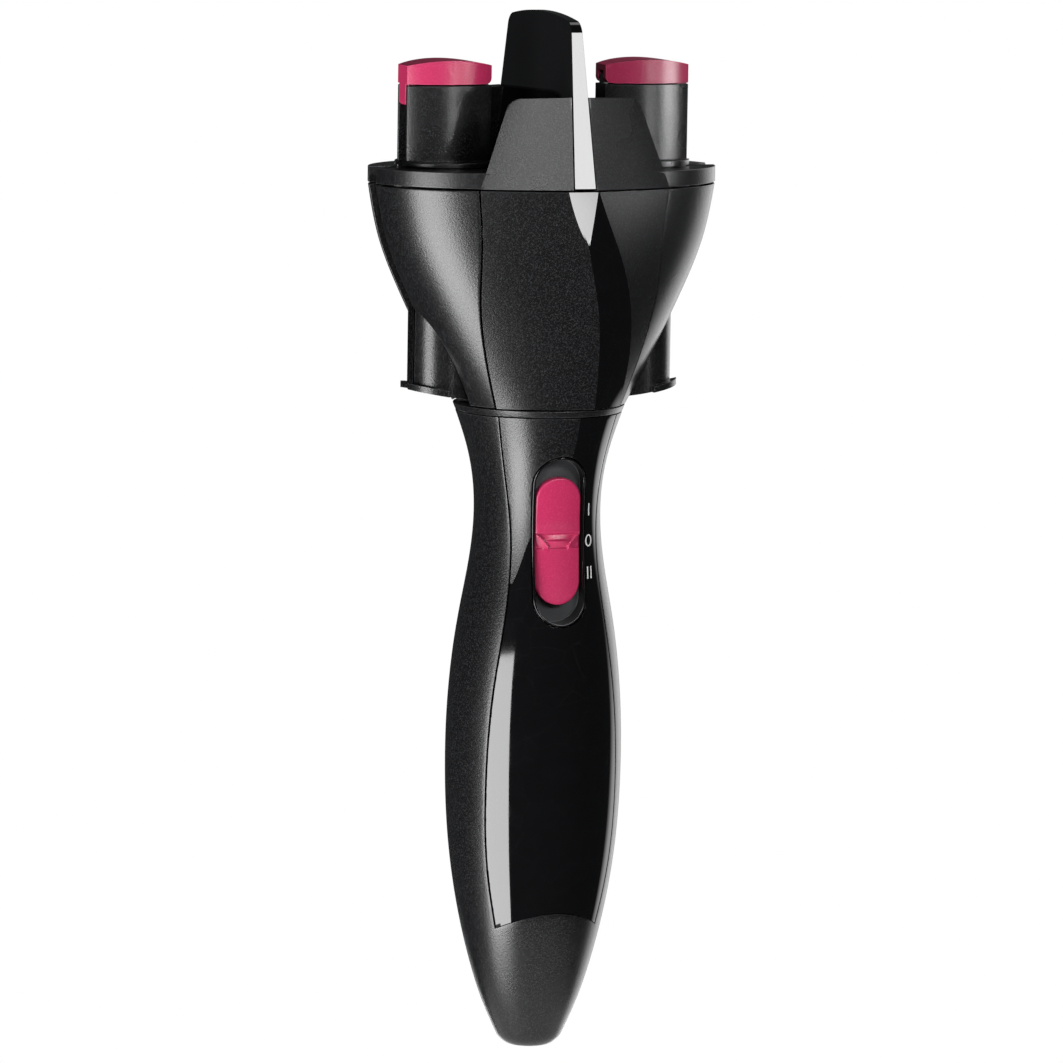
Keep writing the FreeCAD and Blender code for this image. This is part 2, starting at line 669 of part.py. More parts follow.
def gear_carrier():
    """Plate inside the tulip that carries the idler pins and the top of the drive shaft."""
    z1 = CARRIER_TOP_Z
    plate = wing_form(WALL + SEAM).common(prow_form(WALL + SEAM))
    plate = plate.common(slab(CARRIER_Z, z1))
    plate = plate.cut(rod(SHAFT_RADIUS + FIT, CARRIER_Z - 1, z1 + 1))
    for x, y in idler_places():
        plate = plate.cut(rod(PIN_RADIUS, CARRIER_Z - 1, z1 + 1, x, y))
    hole = rod(SLEEVE_RADIUS - SLEEVE_WALL, CARRIER_Z - 1, z1 + 1, TWISTER_X)
    hole = hole.fuse(hair_slot(CARRIER_Z - 1, z1 + 1))
    for y in (-HUB_POST_Y, HUB_POST_Y):
        plate = plate.cut(rod(SCREW_RADIUS, CARRIER_Z - 1, z1 + 1, 0, y))
    return plate.cut(hole).cut(half_turn(hole))


def carrier_screws():
    screws = []
    for y in (-HUB_POST_Y, HUB_POST_Y):
        z1 = CARRIER_TOP_Z
        dome = Part.makeSphere(SCREW_HEAD_RADIUS + 0.2, Vector(0, y, z1 - 1.1))
        head = dome.common(rod(SCREW_HEAD_RADIUS, z1, z1 + 3, 0.0, y))
        screws.append(head.fuse(rod(SCREW_RADIUS, CARRIER_Z, z1, 0, y)))
    return Part.Compound(screws)


# ---- crown and fin ---------------------------------------------------------------------------

def fin_y(z):
    """Half depth of the fin at height z."""
    share = (z - DECK_Z) / (FIN_SHOULDER_Z - DECK_Z)
    return blend(FIN_FOOT_Y, FIN_TOP_Y, share)


def crest_form(inset):
    """Body of the two petals above the crown's deck, leaning in towards the fin."""
    wires = []
    for share in (0.0, 0.5, 1.0):
        z = DECK_Z + CREST_HEIGHT * share
        edge = blend(PETAL_TOP_HALF, CREST_TOP_HALF, share)
        foot_y = oval_y(PETAL_TOP_HALF, CROWN_HALF_WIDTH, CROWN_HALF_DEPTH) + PETAL_PROUD
        edge_y = blend(foot_y, foot_y - 2.4, share)
        crease = fin_y(z) + blend(0.5, 0.2, share)
        wires.append(prow_wire(z, 0.0, crease - inset, edge, edge_y - inset, edge * 2.5 - inset))
    return loft(wires)


def crest_outline(grow):
    """Trapezoid of the upper petals in the front view, with rounded shoulders."""
    low = PETAL_TOP_HALF + grow
    top = CREST_TOP_HALF + grow
    corners = [
        Vector(-low, -REACH, DECK_Z - 1),
        Vector(low, -REACH, DECK_Z - 1),
        Vector(top, -REACH, CREST_TOP_Z),
        Vector(-top, -REACH, CREST_TOP_Z),
    ]
    face = Part.Face(Part.makePolygon(corners + corners[:1]))
    solid = face.extrude(Vector(0, 2 * REACH, 0))
    high = [e for e in solid.Edges if e.BoundBox.ZMin > CREST_TOP_Z - 0.01]
    shoulders = [e for e in high if e.BoundBox.YLength > REACH]
    return solid.makeFillet(3.0, shoulders)


def fin_slab(grow):
    """Tapered plate on the centre plane that the fin is cut from."""
    top_z = FIN_SHOULDER_Z + FIN_ARCH
    corners = [
        Vector(-FIN_FOOT_HALF - grow, -REACH, DECK_Z - DECK_SEAM),
        Vector(FIN_FOOT_HALF + grow, -REACH, DECK_Z - DECK_SEAM),
        Vector(FIN_TOP_HALF + grow, -REACH, top_z),
        Vector(-FIN_TOP_HALF - grow, -REACH, top_z),
    ]
    return Part.Face(Part.makePolygon(corners + corners[:1])).extrude(Vector(0, 2 * REACH, 0))


def fin_side():
    """Side view of the fin: leaning edges, round shoulders and an arched top."""
    foot_z = DECK_Z + SEAM
    foot = fin_y(foot_z)
    low_left = Vector(0, -foot, foot_z)
    high_left = Vector(0, -FIN_TOP_Y, FIN_SHOULDER_Z)
    high_right = Vector(0, FIN_TOP_Y, FIN_SHOULDER_Z)
    low_right = Vector(0, foot, foot_z)
    edges = [
        Part.makeLine(low_left, high_left),
        Part.Arc(high_left, Vector(0, 0, FIN_SHOULDER_Z + FIN_ARCH), high_right).toShape(),
        Part.makeLine(high_right, low_right),
        Part.makeLine(low_right, low_left),
    ]
    solid = Part.Face(Part.Wire(edges)).extrude(Vector(12, 0, 0))
    solid.translate(Vector(-6, 0, 0))
    shoulders = []
    for edge in solid.Edges:
        spot = edge.CenterOfMass
        if edge.BoundBox.XLength > 11 and spot.z > FIN_SHOULDER_Z - 1:
            shoulders.append(edge)
    return solid.makeFillet(FIN_CORNER, shoulders)


def fin():
    blade = fin_slab(0.0).common(fin_side())
    foot_gap = deck_core(SEAM, DECK_Z - 1, DECK_TOP_Z + FIN_SEAT)
    return blade.cut(foot_gap)


def deck_core(grow, z0, z1):
    """The crown's deck where it passes under the fin."""
    reach = CROWN_HALF_DEPTH - FIN_TONGUE + grow
    return box(-20, 20, -reach, reach, z0, z1)


def crown():
    """Deck and the four half petals above it, one moulding with a slot for the fin."""
    deck_top = DECK_TOP_Z
    rim = oval_wire(DECK_Z, CROWN_HALF_WIDTH, CROWN_HALF_DEPTH)
    deck = Part.Face(rim).extrude(Vector(0, 0, DECK_HEIGHT))
    deck = deck.makeFillet(0.6, [e for e in deck.Edges if e.BoundBox.ZMin > deck_top - 0.01])
    shell = crest_form(0.0).cut(crest_form(WALL)).common(crest_outline(0.0))
    groove = crest_outline(SEAM).cut(crest_outline(0.0)).common(slab(DECK_Z, deck_top + 0.1))
    groove = groove.cut(wing_form_straight(0.6))
    fin_room = fin_slab(SEAM).cut(deck_core(0.0, DECK_Z - 1, deck_top))
    bore = rod(JOURNAL_RADIUS + FIT, DECK_Z - 1, deck_top + 1, TWISTER_X)
    bore = bore.fuse(hair_slot(DECK_Z - 1, deck_top + 1))
    whole = deck.cut(groove).fuse(shell)
    for x, y in crown_post_places():
        whole = whole.fuse(rod(2.4, CARRIER_TOP_Z + 0.2, DECK_Z + 1, x, y))
    return whole.cut(fin_room).cut(bore).cut(half_turn(bore)).removeSplitter()


def crown_post_places():
    return [(x, y) for x in (-9.0, 9.0) for y in (-18.0, 18.0)]


def wing_form_straight(inset):
    """Upright oval that follows the deck's rim."""
    wire = oval_wire(DECK_Z - 1, CROWN_HALF_WIDTH - inset, CROWN_HALF_DEPTH - inset)
    return Part.Face(wire).extrude(Vector(0, 0, DECK_HEIGHT + 3))


# ---- gear train ------------------------------------------------------------------------------


def train_angles(ratio):
    """Idler directions seen from the sun gear and from the twister, for a centre distance ratio."""
    near = (SUN_TEETH + IDLER_TEETH) / 2
    far = (TWISTER_TEETH + IDLER_TEETH) / 2
    at_sun = math.degrees(math.acos((near**2 + ratio**2 - far**2) / (2 * near * ratio)))
    at_twister = math.degrees(math.acos((far**2 + ratio**2 - near**2) / (2 * far * ratio)))
    return at_sun, at_twister


def train_error(ratio):
    """How far the teeth miss closing the loop of sun, two idlers and twister, in degrees."""
    at_sun, at_twister = train_angles(ratio)
    turn = (SUN_TEETH + IDLER_TEETH) * at_sun + (TWISTER_TEETH + IDLER_TEETH) * at_twister
    return turn - TRAIN_CLOSURE


def closing_ratio():
    """Centre distance in modules at which two idlers can drive one twister together."""
    low = (SUN_TEETH + IDLER_TEETH) / 2 + 1.0
    high = (SUN_TEETH + TWISTER_TEETH + 2 * IDLER_TEETH) / 2 - 0.5
    for _ in range(60):
        middle = (low + high) / 2
        if train_error(middle) > 0:
            low = middle
        else:
            high = middle
    return (low + high) / 2


TRAIN_RATIO = closing_ratio()
MODULE = TWISTER_X / TRAIN_RATIO
IDLER_ANGLE, IDLER_FAR_ANGLE = train_angles(TRAIN_RATIO)
IDLER_REACH = MODULE * (SUN_TEETH + IDLER_TEETH) / 2


def idler_places():
    places = []
    for turn in (IDLER_ANGLE, -IDLER_ANGLE, 180 + IDLER_ANGLE, 180 - IDLER_ANGLE):
        angle = math.radians(turn)
        places.append((IDLER_REACH * math.cos(angle), IDLER_REACH * math.sin(angle)))
    return places


def involute_angle(radius, base):
    """Angle in degrees by which the flank has unwound at a radius."""
    if radius <= base:
        return 0.0
    pressure = math.acos(base / radius)
    return math.degrees(math.tan(pressure) - pressure)


def gear_blank(teeth, phase, x, y):
    """Spur gear with involute flanks and one tooth centred on the phase direction."""
    pitch = MODULE * teeth / 2
    base = pitch * math.cos(math.radians(20))
    root = pitch - 1.2 * MODULE
    tip = pitch + 0.92 * MODULE
    half_pitch_tooth = 90.0 / teeth - math.degrees(BACKLASH / 2 / pitch)
    levels = [root, max(base, root + 0.15 * MODULE), pitch, tip]
    points = []
    for tooth in range(teeth):
        middle = phase + 360.0 * tooth / teeth
        flank = []
        for radius in levels:
            spread = half_pitch_tooth + involute_angle(pitch, base) - involute_angle(radius, base)
            flank.append((radius, max(spread, 0.4)))
        for radius, spread in flank:
            points.append(polar(x, y, radius, middle - spread))
        for radius, spread in reversed(flank):
            points.append(polar(x, y, radius, middle + spread))
    points.append(points[0])
    return Part.Face(Part.makePolygon(points)).extrude(Vector(0, 0, GEAR_HEIGHT))


def polar(x, y, radius, degrees):
    angle = math.radians(degrees)
    return Vector(x + radius * math.cos(angle), y + radius * math.sin(angle), GEAR_Z)


def sun_gear():
    gear = gear_blank(SUN_TEETH, 0.0, 0.0, 0.0)
    hub = rod(MODULE * 6, SLEEVE_FOOT_Z, GEAR_Z + GEAR_HEIGHT + 1.0)
    return gear.fuse(hub).cut(rod(SHAFT_RADIUS, CARRIER_Z, DECK_Z)).removeSplitter()


def drive_shaft():
    return rod(SHAFT_RADIUS, SHAFT_FOOT_Z, GEAR_Z + GEAR_HEIGHT + 1.6)


def idler_gear(index):
    """Idlers on the +Y side mirror those on the -Y side, so both reach the twister in step."""
    x, y = idler_places()[index]
    turn = (IDLER_ANGLE, -IDLER_ANGLE, 180 + IDLER_ANGLE, 180 - IDLER_ANGLE)[index]
    step = 360.0 / IDLER_TEETH
    phase = turn + 180 - step * (0.5 - SUN_TEETH * turn / 360.0)
    gear = gear_blank(IDLER_TEETH, phase, x, y)
    return gear.cut(rod(PIN_RADIUS + FIT, GEAR_Z - 1, GEAR_Z + GEAR_HEIGHT + 1, x, y))


def idler_pins():
    pins = []
    for x, y in idler_places():
        top = GEAR_Z + GEAR_HEIGHT
        pin = rod(PIN_RADIUS, CARRIER_Z, top + RUN + 0.8, x, y)
        head = tube(PIN_RADIUS + 0.9, PIN_RADIUS - 0.1, top + RUN, top + RUN + 0.8, x, y)
        pins.append(pin.fuse(head).removeSplitter())
    return Part.Compound(pins)


def twister_gear():
    """C-shaped gear with the sleeve and flange that join it to the post above the deck."""
    far = (TWISTER_TEETH + IDLER_TEETH) * IDLER_FAR_ANGLE + (SUN_TEETH + IDLER_TEETH) * IDLER_ANGLE
    phase = -far / TWISTER_TEETH
    gear = gear_blank(TWISTER_TEETH, phase, TWISTER_X, 0.0)
    sleeve = rod(SLEEVE_RADIUS, SLEEVE_FOOT_Z, DECK_Z - RUN, TWISTER_X)
    flange = rod(FLANGE_RADIUS, DECK_Z - RUN - FLANGE_HEIGHT, DECK_Z - RUN, TWISTER_X)
    whole = gear.fuse(sleeve).fuse(flange)
    whole = whole.cut(rod(SLEEVE_RADIUS - SLEEVE_WALL, GEAR_Z - 2, DECK_Z + 1, TWISTER_X))
    return whole.cut(hair_slot(GEAR_Z - 2, DECK_Z + 1)).removeSplitter()


# ---- twister posts and clips -----------------------------------------------------------------

def lens_prism(grow, z0, z1):
    """Plan of a twister post: bulging front and rear, flat ends."""
    half = POST_HALF_LENGTH + grow
    side = POST_SIDE_HALF + grow
    middle = POST_MIDDLE_HALF + grow
    x = TWISTER_X
    corners = [
        Vector(x - half, -side, z0),
        Vector(x + half, -side, z0),
        Vector(x + half, side, z0),
        Vector(x - half, side, z0),
    ]
    edges = [
        Part.Arc(corners[0], Vector(x, -middle, z0), corners[1]).toShape(),
        Part.makeLine(corners[1], corners[2]),
        Part.Arc(corners[2], Vector(x, middle, z0), corners[3]).toShape(),
        Part.makeLine(corners[3], corners[0]),
    ]
    return Part.Face(Part.Wire(edges)).extrude(Vector(0, 0, z1 - z0))


def twister_post():
    """Journal, flange and two jaws joined by a web on the inner side."""
    foot = rod(JOURNAL_RADIUS, DECK_Z - RUN, DECK_TOP_Z + RUN, TWISTER_X)
    flange = rod(FLANGE_RADIUS, DECK_TOP_Z + RUN, POST_FOOT_Z, TWISTER_X)
    jaws = lens_prism(0.0, POST_FOOT_Z, POST_TOP_Z)
    whole = foot.fuse(flange).fuse(jaws)
    hole = rod(SLEEVE_RADIUS - SLEEVE_WALL, DECK_Z - 2, POST_FOOT_Z, TWISTER_X)
    inner = TWISTER_X - POST_HALF_LENGTH + POST_WEB
    slot = box(inner, REACH, -SLOT / 2, SLOT / 2, DECK_Z - 2, POST_TOP_Z + 1)
    return whole.cut(slot).fuse(hinge_tongue()).cut(hinge_hole()).removeSplitter()


def hinge_tongue():
    """Ear on the web that holds the clip's hinge pin."""
    radius = HINGE_INSET - 0.25
    foot = Vector(HINGE_X, -TONGUE_HALF, HINGE_Z)
    round_end = Part.makeCylinder(radius, 2 * TONGUE_HALF, foot, Vector(0, 1, 0))
    stalk = box(HINGE_X - radius, HINGE_X + radius, -TONGUE_HALF, TONGUE_HALF, POST_TOP_Z - 0.5, HINGE_Z)
    return round_end.fuse(stalk)


def hinge_hole():
    return Part.makeCylinder(HINGE_PIN_RADIUS, 20, Vector(HINGE_X, -10, HINGE_Z), Vector(0, 1, 0))


def hinge_pin():
    """Pin held in the ear; the clip's cheeks spring over its ends and hide them."""
    half = POST_SIDE_HALF - HINGE_CHEEK - 0.1
    return Part.makeCylinder(HINGE_PIN_RADIUS, 2 * half, Vector(HINGE_X, -half, HINGE_Z), Vector(0, 1, 0))


def hair_clip():
    """Sprung cap over the jaws, with a leg that hangs in the slot and closes its outer end."""
    inner = TWISTER_X - POST_HALF_LENGTH
    outer = TWISTER_X + POST_HALF_LENGTH
    low = POST_TOP_Z + RUN
    shoulder = CLIP_SHOULDER_Z
    y = -REACH / 2
    bend = math.radians(45)
    heel_x = HINGE_X - HINGE_INSET * math.sin(bend)
    heel_z = HINGE_Z - HINGE_INSET * math.cos(bend)
    crown_arc = Part.Arc(
        Vector(outer, y, shoulder), Vector(TWISTER_X, y, shoulder + CLIP_ARCH), Vector(inner, y, shoulder)
    )
    heel_arc = Part.Arc(Vector(inner, y, HINGE_Z), Vector(heel_x, y, heel_z), Vector(HINGE_X, y, low))
    edges = [
        Part.makeLine(Vector(HINGE_X, y, low), Vector(outer, y, low)),
        Part.makeLine(Vector(outer, y, low), Vector(outer, y, shoulder)),
        crown_arc.toShape(),
        Part.makeLine(Vector(inner, y, shoulder), Vector(inner, y, HINGE_Z)),
        heel_arc.toShape(),
    ]
    cap = Part.Face(Part.Wire(edges)).extrude(Vector(0, REACH, 0))
    cap = cap.common(lens_prism(0.0, low - 1, shoulder + 2 * CLIP_ARCH))
    leg_half = SLOT / 2 - RUN
    leg = box(outer - CLIP_LEG, outer, -leg_half, leg_half, CLIP_LEG_Z, low + 1)
    toe = [e for e in leg.Edges if e.BoundBox.ZMax < CLIP_LEG_Z + 0.01 and e.BoundBox.YLength > leg_half]
    cap = cap.fuse(leg.makeFillet(LEG_TOE, toe))
    pocket_half = TONGUE_HALF + RUN
    pocket_x = HINGE_X + HINGE_INSET + 0.1
    pocket = box(inner - 1, pocket_x, -pocket_half, pocket_half, low - 1, HINGE_Z + HINGE_INSET + 0.1)
    half = POST_SIDE_HALF - HINGE_CHEEK
    start = Vector(HINGE_X, -half, HINGE_Z)
    bore = Part.makeCylinder(HINGE_PIN_RADIUS + FIT, 2 * half, start, Vector(0, 1, 0))
    return cap.cut(pocket).cut(bore).removeSplitter()


# ---- hair guides -----------------------------------------------------------------------------


def hair_guide():
    """C-shaped tube below the wing, cut on a slant, with a lip round its outer foot."""
    x = TWISTER_X
    reach = SLEEVE_RADIUS
    lean = math.degrees(math.atan2(GUIDE_OUTER_Z - GUIDE_INNER_Z, 2 * reach))
    mouth = slab(-REACH, 0.0)
    above = slab(-REACH, GUIDE_LIP_HEIGHT)
    for tool in (mouth, above):
        tool.rotate(Vector(0, 0, 0), Vector(0, 1, 0), -lean)
        tool.translate(Vector(x - reach, 0, GUIDE_INNER_Z))
    top = CARRIER_Z - 0.2
    body = rod(reach, GUIDE_INNER_Z - 1, top, x)
    lip = rod(reach + GUIDE_LIP, GUIDE_INNER_Z - 1, top, x).common(above)
    low = GUIDE_INNER_Z - 5
    lip = lip.common(box(x + 1.0, REACH, -REACH, REACH, low, top))
    whole = body.fuse(lip).cut(mouth)
    whole = whole.cut(rod(reach - SLEEVE_WALL, low, top + 1, x))
    return whole.cut(hair_slot(low, top + 1)).removeSplitter()


# ---- output ----------------------------------------------------------------------------------


def main():
    os.makedirs("parts", exist_ok=True)
    save("handle_body", handle_body())
    save("front_panel", front_panel())
    save("battery_door", battery_door())
    save("neck_ring", neck_ring())
    save("bearing_bush", bearing_bush())
    save("switch_bezel", switch_bezel())
    save("slider_button", slider_button())
    save("switch_block", switch_block())
    save("battery_tray", battery_tray())
    save("battery_cell_left", battery_cell(-CELL_X, False))
    save("battery_cell_right", battery_cell(CELL_X, True))
    save("contact_springs", contact_springs())
    save("gear_motor", gear_motor())
    save("gearbox", gearbox())
    save("motor_bracket", motor_bracket())
    save("head_hub", head_hub())
    save("retaining_ring", retaining_ring())
    save("gear_carrier", gear_carrier())
    save("carrier_screws", carrier_screws())
    save("drive_shaft", drive_shaft())
    save("sun_gear", sun_gear())
    for index, name in enumerate(("right_rear", "right_front", "left_front", "left_rear")):
        save("idler_gear_" + name, idler_gear(index))
    save("idler_pins", idler_pins())
    save("crown", crown())
    save("fin", fin())
    petal = front_petal()
    save("front_petal", petal)
    save("rear_petal", half_turn(petal))
    for name, maker in (
        ("wing", right_wing),
        ("hair_guide", hair_guide),
        ("twister_gear", twister_gear),
        ("twister_post", twister_post),
        ("clip_pin", hinge_pin),
        ("hair_clip", hair_clip),
    ):
        shape = maker()
        save(name + "_right", shape)
        save(name + "_left", half_turn(shape))


main()
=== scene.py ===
import bisect
import math

import bmesh
import bpy
import numpy as np
from mathutils import Matrix, Vector


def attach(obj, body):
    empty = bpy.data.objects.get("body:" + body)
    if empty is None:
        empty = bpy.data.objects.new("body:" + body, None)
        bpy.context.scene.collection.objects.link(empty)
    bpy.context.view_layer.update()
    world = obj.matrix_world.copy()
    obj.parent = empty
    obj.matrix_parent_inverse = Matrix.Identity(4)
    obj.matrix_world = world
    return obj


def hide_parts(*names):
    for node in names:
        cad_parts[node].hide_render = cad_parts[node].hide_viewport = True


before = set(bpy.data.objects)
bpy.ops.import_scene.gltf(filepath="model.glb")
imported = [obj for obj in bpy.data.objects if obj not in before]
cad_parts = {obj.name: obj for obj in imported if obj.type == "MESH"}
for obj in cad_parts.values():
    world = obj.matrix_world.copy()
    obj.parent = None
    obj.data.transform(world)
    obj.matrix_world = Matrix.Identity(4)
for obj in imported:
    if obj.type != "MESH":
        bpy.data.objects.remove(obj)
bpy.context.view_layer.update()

MM = 0.001

# ---- the view ----------------------------------------------------------------------------------
# A long lens, a little to the braider's left and a little above its middle. The frame is tilted
# by a degree, so the braider leans slightly to the right.

VIEW_AZIMUTH = math.radians(-20.0)
VIEW_ELEVATION = math.radians(7.5)
VIEW_ROLL = math.radians(0.93)
VIEW_DISTANCE = 1.60
VIEW_WIDTH = 0.2619
VIEW_CENTRE = Vector((-0.00116, 0.00042, 0.1283))
SENSOR_WIDTH = 36.0


def bearing(azimuth, elevation):
    """The way from the braider to a place seen at these angles. Straight in front is 0, 0."""
    level = math.cos(elevation)
    return Vector((math.sin(azimuth) * level, -math.cos(azimuth) * level, math.sin(elevation)))


toward_camera = bearing(VIEW_AZIMUTH, VIEW_ELEVATION)
bpy.ops.object.camera_add(location=VIEW_CENTRE + toward_camera * VIEW_DISTANCE)
camera = bpy.context.object
camera.rotation_mode = "QUATERNION"
camera.rotation_quaternion = toward_camera.to_track_quat("Z", "Y")
camera.rotation_quaternion.rotate(Matrix.Rotation(VIEW_ROLL, 4, toward_camera))
camera.data.sensor_width = SENSOR_WIDTH
camera.data.lens = SENSOR_WIDTH * VIEW_DISTANCE / VIEW_WIDTH
camera.data.clip_start = 0.05
camera.data.clip_end = 20.0
scene = bpy.context.scene
scene.camera = camera

# ---- the studio --------------------------------------------------------------------------------
# A white backdrop behind the braider and near darkness in front of it, so that its black plastic
# stays black. A tall soft box on the left draws the long highlights, two above light the fin's edge
# and the left shield, and one low behind lifts the tops. Narrow lamps pick out the crown, the
# petal's flat and the right twister. A bright sheet behind on the right draws the rims.

FLOOR_Z = -0.18
FLOOR_RADIUS = 0.30
FLOOR_THICK = 0.01
LAMP_DISTANCE = 1.1
MIDDLE = Vector((0.0, 0.0, 0.14))
FIN_EDGE = Vector((0.0, -0.026, 0.235))
SHIELDS = Vector((0.0, -0.026, 0.230))
CROWN = Vector((0.0, 0.0, 0.233))
PETAL_FLAT = Vector((0.0, -0.030, 0.212))
POSTS = Vector((0.0, 0.0, 0.247))
POST_LAMP_AZIMUTHS = (42.0, 47.5, 53.0, 58.5)
POST_LAMP_RADIUS = 36 * MM
POST_LAMP_CONE = math.radians(4.0)
SHEET_WAY = bearing(math.radians(126), 0.0)
SHEET_FULL = math.cos(math.radians(15))
SHEET_END = math.cos(math.radians(25))
WHITE = (1.0, 1.0, 1.0, 1.0)


def hang_lamp(kind, name, azimuth, elevation, aim, power):
    """A lamp that looks at a point of the braider and isn't seen itself. Angles in degrees."""
    away = bearing(math.radians(azimuth), math.radians(elevation))
    bpy.ops.object.light_add(type=kind, location=aim + away * LAMP_DISTANCE)
    lamp = bpy.context.object
    lamp.name = name
    lamp.rotation_mode = "QUATERNION"
    lamp.rotation_quaternion = away.to_track_quat("Z", "Y")
    lamp.data.energy = power
    lamp.visible_camera = False
    return lamp


def soft_box(name, azimuth, elevation, size, power, aim=MIDDLE, spread=180.0):
    """A rectangular lamp. A small spread makes it light little more than what it looks at."""
    lamp = hang_lamp("AREA", name, azimuth, elevation, aim, power)
    lamp.data.shape = "RECTANGLE"
    lamp.data.size, lamp.data.size_y = size
    lamp.data.spread = math.radians(spread)


soft_box("left_box", -61.5, -21.0, (0.60, 0.85), power=20.5)
soft_box("front_box", 20.4, 20.0, (0.30, 0.28), power=4.9, aim=FIN_EDGE)
soft_box("shield_box", -14.0, 22.0, (0.60, 0.28), power=2.9, aim=SHIELDS)
soft_box("rear_box", 165.0, -38.0, (0.80, 0.56), power=3.0)
soft_box("crown_box", 20.0, -2.0, (0.30, 0.07), power=0.0070, aim=CROWN, spread=6.0)
soft_box("crease_box", 19.5, -10.3, (0.17, 0.09), power=0.0011, aim=PETAL_FLAT, spread=6.0)

# A row of round lamps in snoots draws the highlight of the right twister. They add nothing to the
# matt part of the light.
for place, azimuth in enumerate(POST_LAMP_AZIMUTHS):
    spot = hang_lamp("SPOT", f"post_spot_{place}", azimuth, -2.0, aim=POSTS, power=8.0)
    spot.data.shadow_soft_size = POST_LAMP_RADIUS
    spot.data.spot_size = POST_LAMP_CONE
    spot.data.spot_blend = 0.4
    spot.visible_diffuse = False


def build_nodes(tree, plan, **nodes):
    """Fills a node tree from a plan of kinds, inputs and settings.

    An input is a value, or the node and output that feed it. A node without a kind is given.
    """
    for name, (kind, _, *settings) in plan.items():
        if kind:
            nodes[name] = tree.nodes.new("ShaderNode" + kind)
        for label, value in dict(*settings).items():
            setattr(nodes[name], label, value)
    for name, (_, inputs, *_) in plan.items():
        for label, value in inputs.items():
            if isinstance(value, str):
                source, output = value.split(".")
                tree.links.new(nodes[source].outputs[output], nodes[name].inputs[label])
            else:
                nodes[name].inputs[label].default_value = value


scene.view_settings.view_transform = "Standard"
scene.world = bpy.data.worlds.new("studio_air")
scene.world.use_nodes = True
air = scene.world.node_tree
air.nodes.clear()
build_nodes(air, {
    "out": ("OutputWorld", {"Surface": "mix.Shader"}),
    "mix": ("MixShader", {"Fac": "path.Is Camera Ray", 1: "side.Shader", 2: "backdrop.Background"}),
    "side": ("MixShader", {"Fac": "reach.Result", 1: "fill.Background", 2: "sheet.Background"}),
    "path": ("LightPath", {}),
    "way": ("TexCoord", {}),
    "level": ("VectorMath", {0: "way.Generated", 1: (1.0, 1.0, 0.0)}, {"operation": "MULTIPLY"}),
    "compass": ("VectorMath", {0: "level.Vector"}, {"operation": "NORMALIZE"}),
    "turn": ("VectorMath", {0: "compass.Vector", 1: SHEET_WAY}, {"operation": "DOT_PRODUCT"}),
    "reach": ("MapRange", {"From Min": SHEET_END, "From Max": SHEET_FULL, "Value": "turn.Value"}),
    "fill": ("Background", {"Color": (0.92, 0.96, 1.0, 1.0), "Strength": 0.04}),
    "backdrop": ("Background", {"Color": WHITE}),
    "sheet": ("Background", {"Color": WHITE, "Strength": 1.9}),
})

# The floor glows for the camera and for reflections, so that it is as white as the backdrop.
bpy.ops.object.select_all(action="DESELECT")
bpy.ops.mesh.primitive_cylinder_add(
    vertices=96, radius=FLOOR_RADIUS, depth=FLOOR_THICK, location=(0.0, 0.0, FLOOR_Z - FLOOR_THICK / 2)
)
floor = bpy.context.object
floor.name = "studio_floor"
floor_paint = bpy.data.materials.new("floor_paint")
floor_paint.use_nodes = True
floor_tree = floor_paint.node_tree
floor_matt = floor_tree.nodes["Principled BSDF"]
floor_matt.inputs["Base Color"].default_value = (0.84, 0.84, 0.83, 1.0)
floor_matt.inputs["Roughness"].default_value = 0.8
build_nodes(floor_tree, {
    "glow": ("Emission", {}),
    "mix": ("MixShader", {"Fac": "share.Value", 1: "matt.BSDF", 2: "glow.Emission"}),
    "path": ("LightPath", {}),
    "seen": ("Math", {0: "path.Is Camera Ray", 1: "path.Is Glossy Ray"}, {"operation": "MAXIMUM"}),
    "share": ("Math", {0: "seen.Value", 1: 0.88}, {"operation": "MULTIPLY"}),
    "out": (None, {"Surface": "mix.Shader"}),
}, matt=floor_matt, out=floor_tree.nodes["Material Output"])
floor.data.materials.append(floor_paint)

# ---- handle body -------------------------------------------------------------------------------
# One oval shell of black ABS with a fine spark-eroded grain. It swells where the palm lies,
# narrows under the head, and ends in a rounded tip with a small flat. The front is left open for
# the glossy panel, the rear for the battery cover.

WALL = 2.0 * MM
SEAM = 0.3 * MM
TIP_HALF = 4.2 * MM
TIP_ROUND = 2.4 * MM
TIP_FULLNESS = 0.47
TIP_OVAL = 0.95
BODY_TOP = 158.5 * MM
PANEL_FOOT = 31.8 * MM
PANEL_ARCH = 4.0 * MM
FRONT_COLUMNS = 40
BACK_COLUMNS = 88
BODY_ARCH_FADE = 16 * MM


def faired(points):
    """A smooth curve through (height, size) points, like a batten held at each of them."""
    heights = [height * MM for height, _ in points]
    sizes = [size * MM for _, size in points]
    count = len(points)
    spans = np.diff(heights)
    pull = np.eye(count)
    load = np.zeros(count)
    for k in range(1, count - 1):
        pull[k, k - 1] = spans[k - 1]
        pull[k, k] = 2 * (spans[k - 1] + spans[k])
        pull[k, k + 1] = spans[k]
        load[k] = 6 * ((sizes[k + 1] - sizes[k]) / spans[k] - (sizes[k] - sizes[k - 1]) / spans[k - 1])
    bends = np.linalg.solve(pull, load)

    def at(height):
        k = min(max(bisect.bisect_right(heights, height) - 1, 0), count - 2)
        step = height - heights[k]
        slope = (sizes[k + 1] - sizes[k]) / spans[k] - spans[k] * (2 * bends[k] + bends[k + 1]) / 6
        twist = (bends[k + 1] - bends[k]) / (6 * spans[k])
        return float(sizes[k] + step * slope + step**2 * bends[k] / 2 + step**3 * twist)

    return at


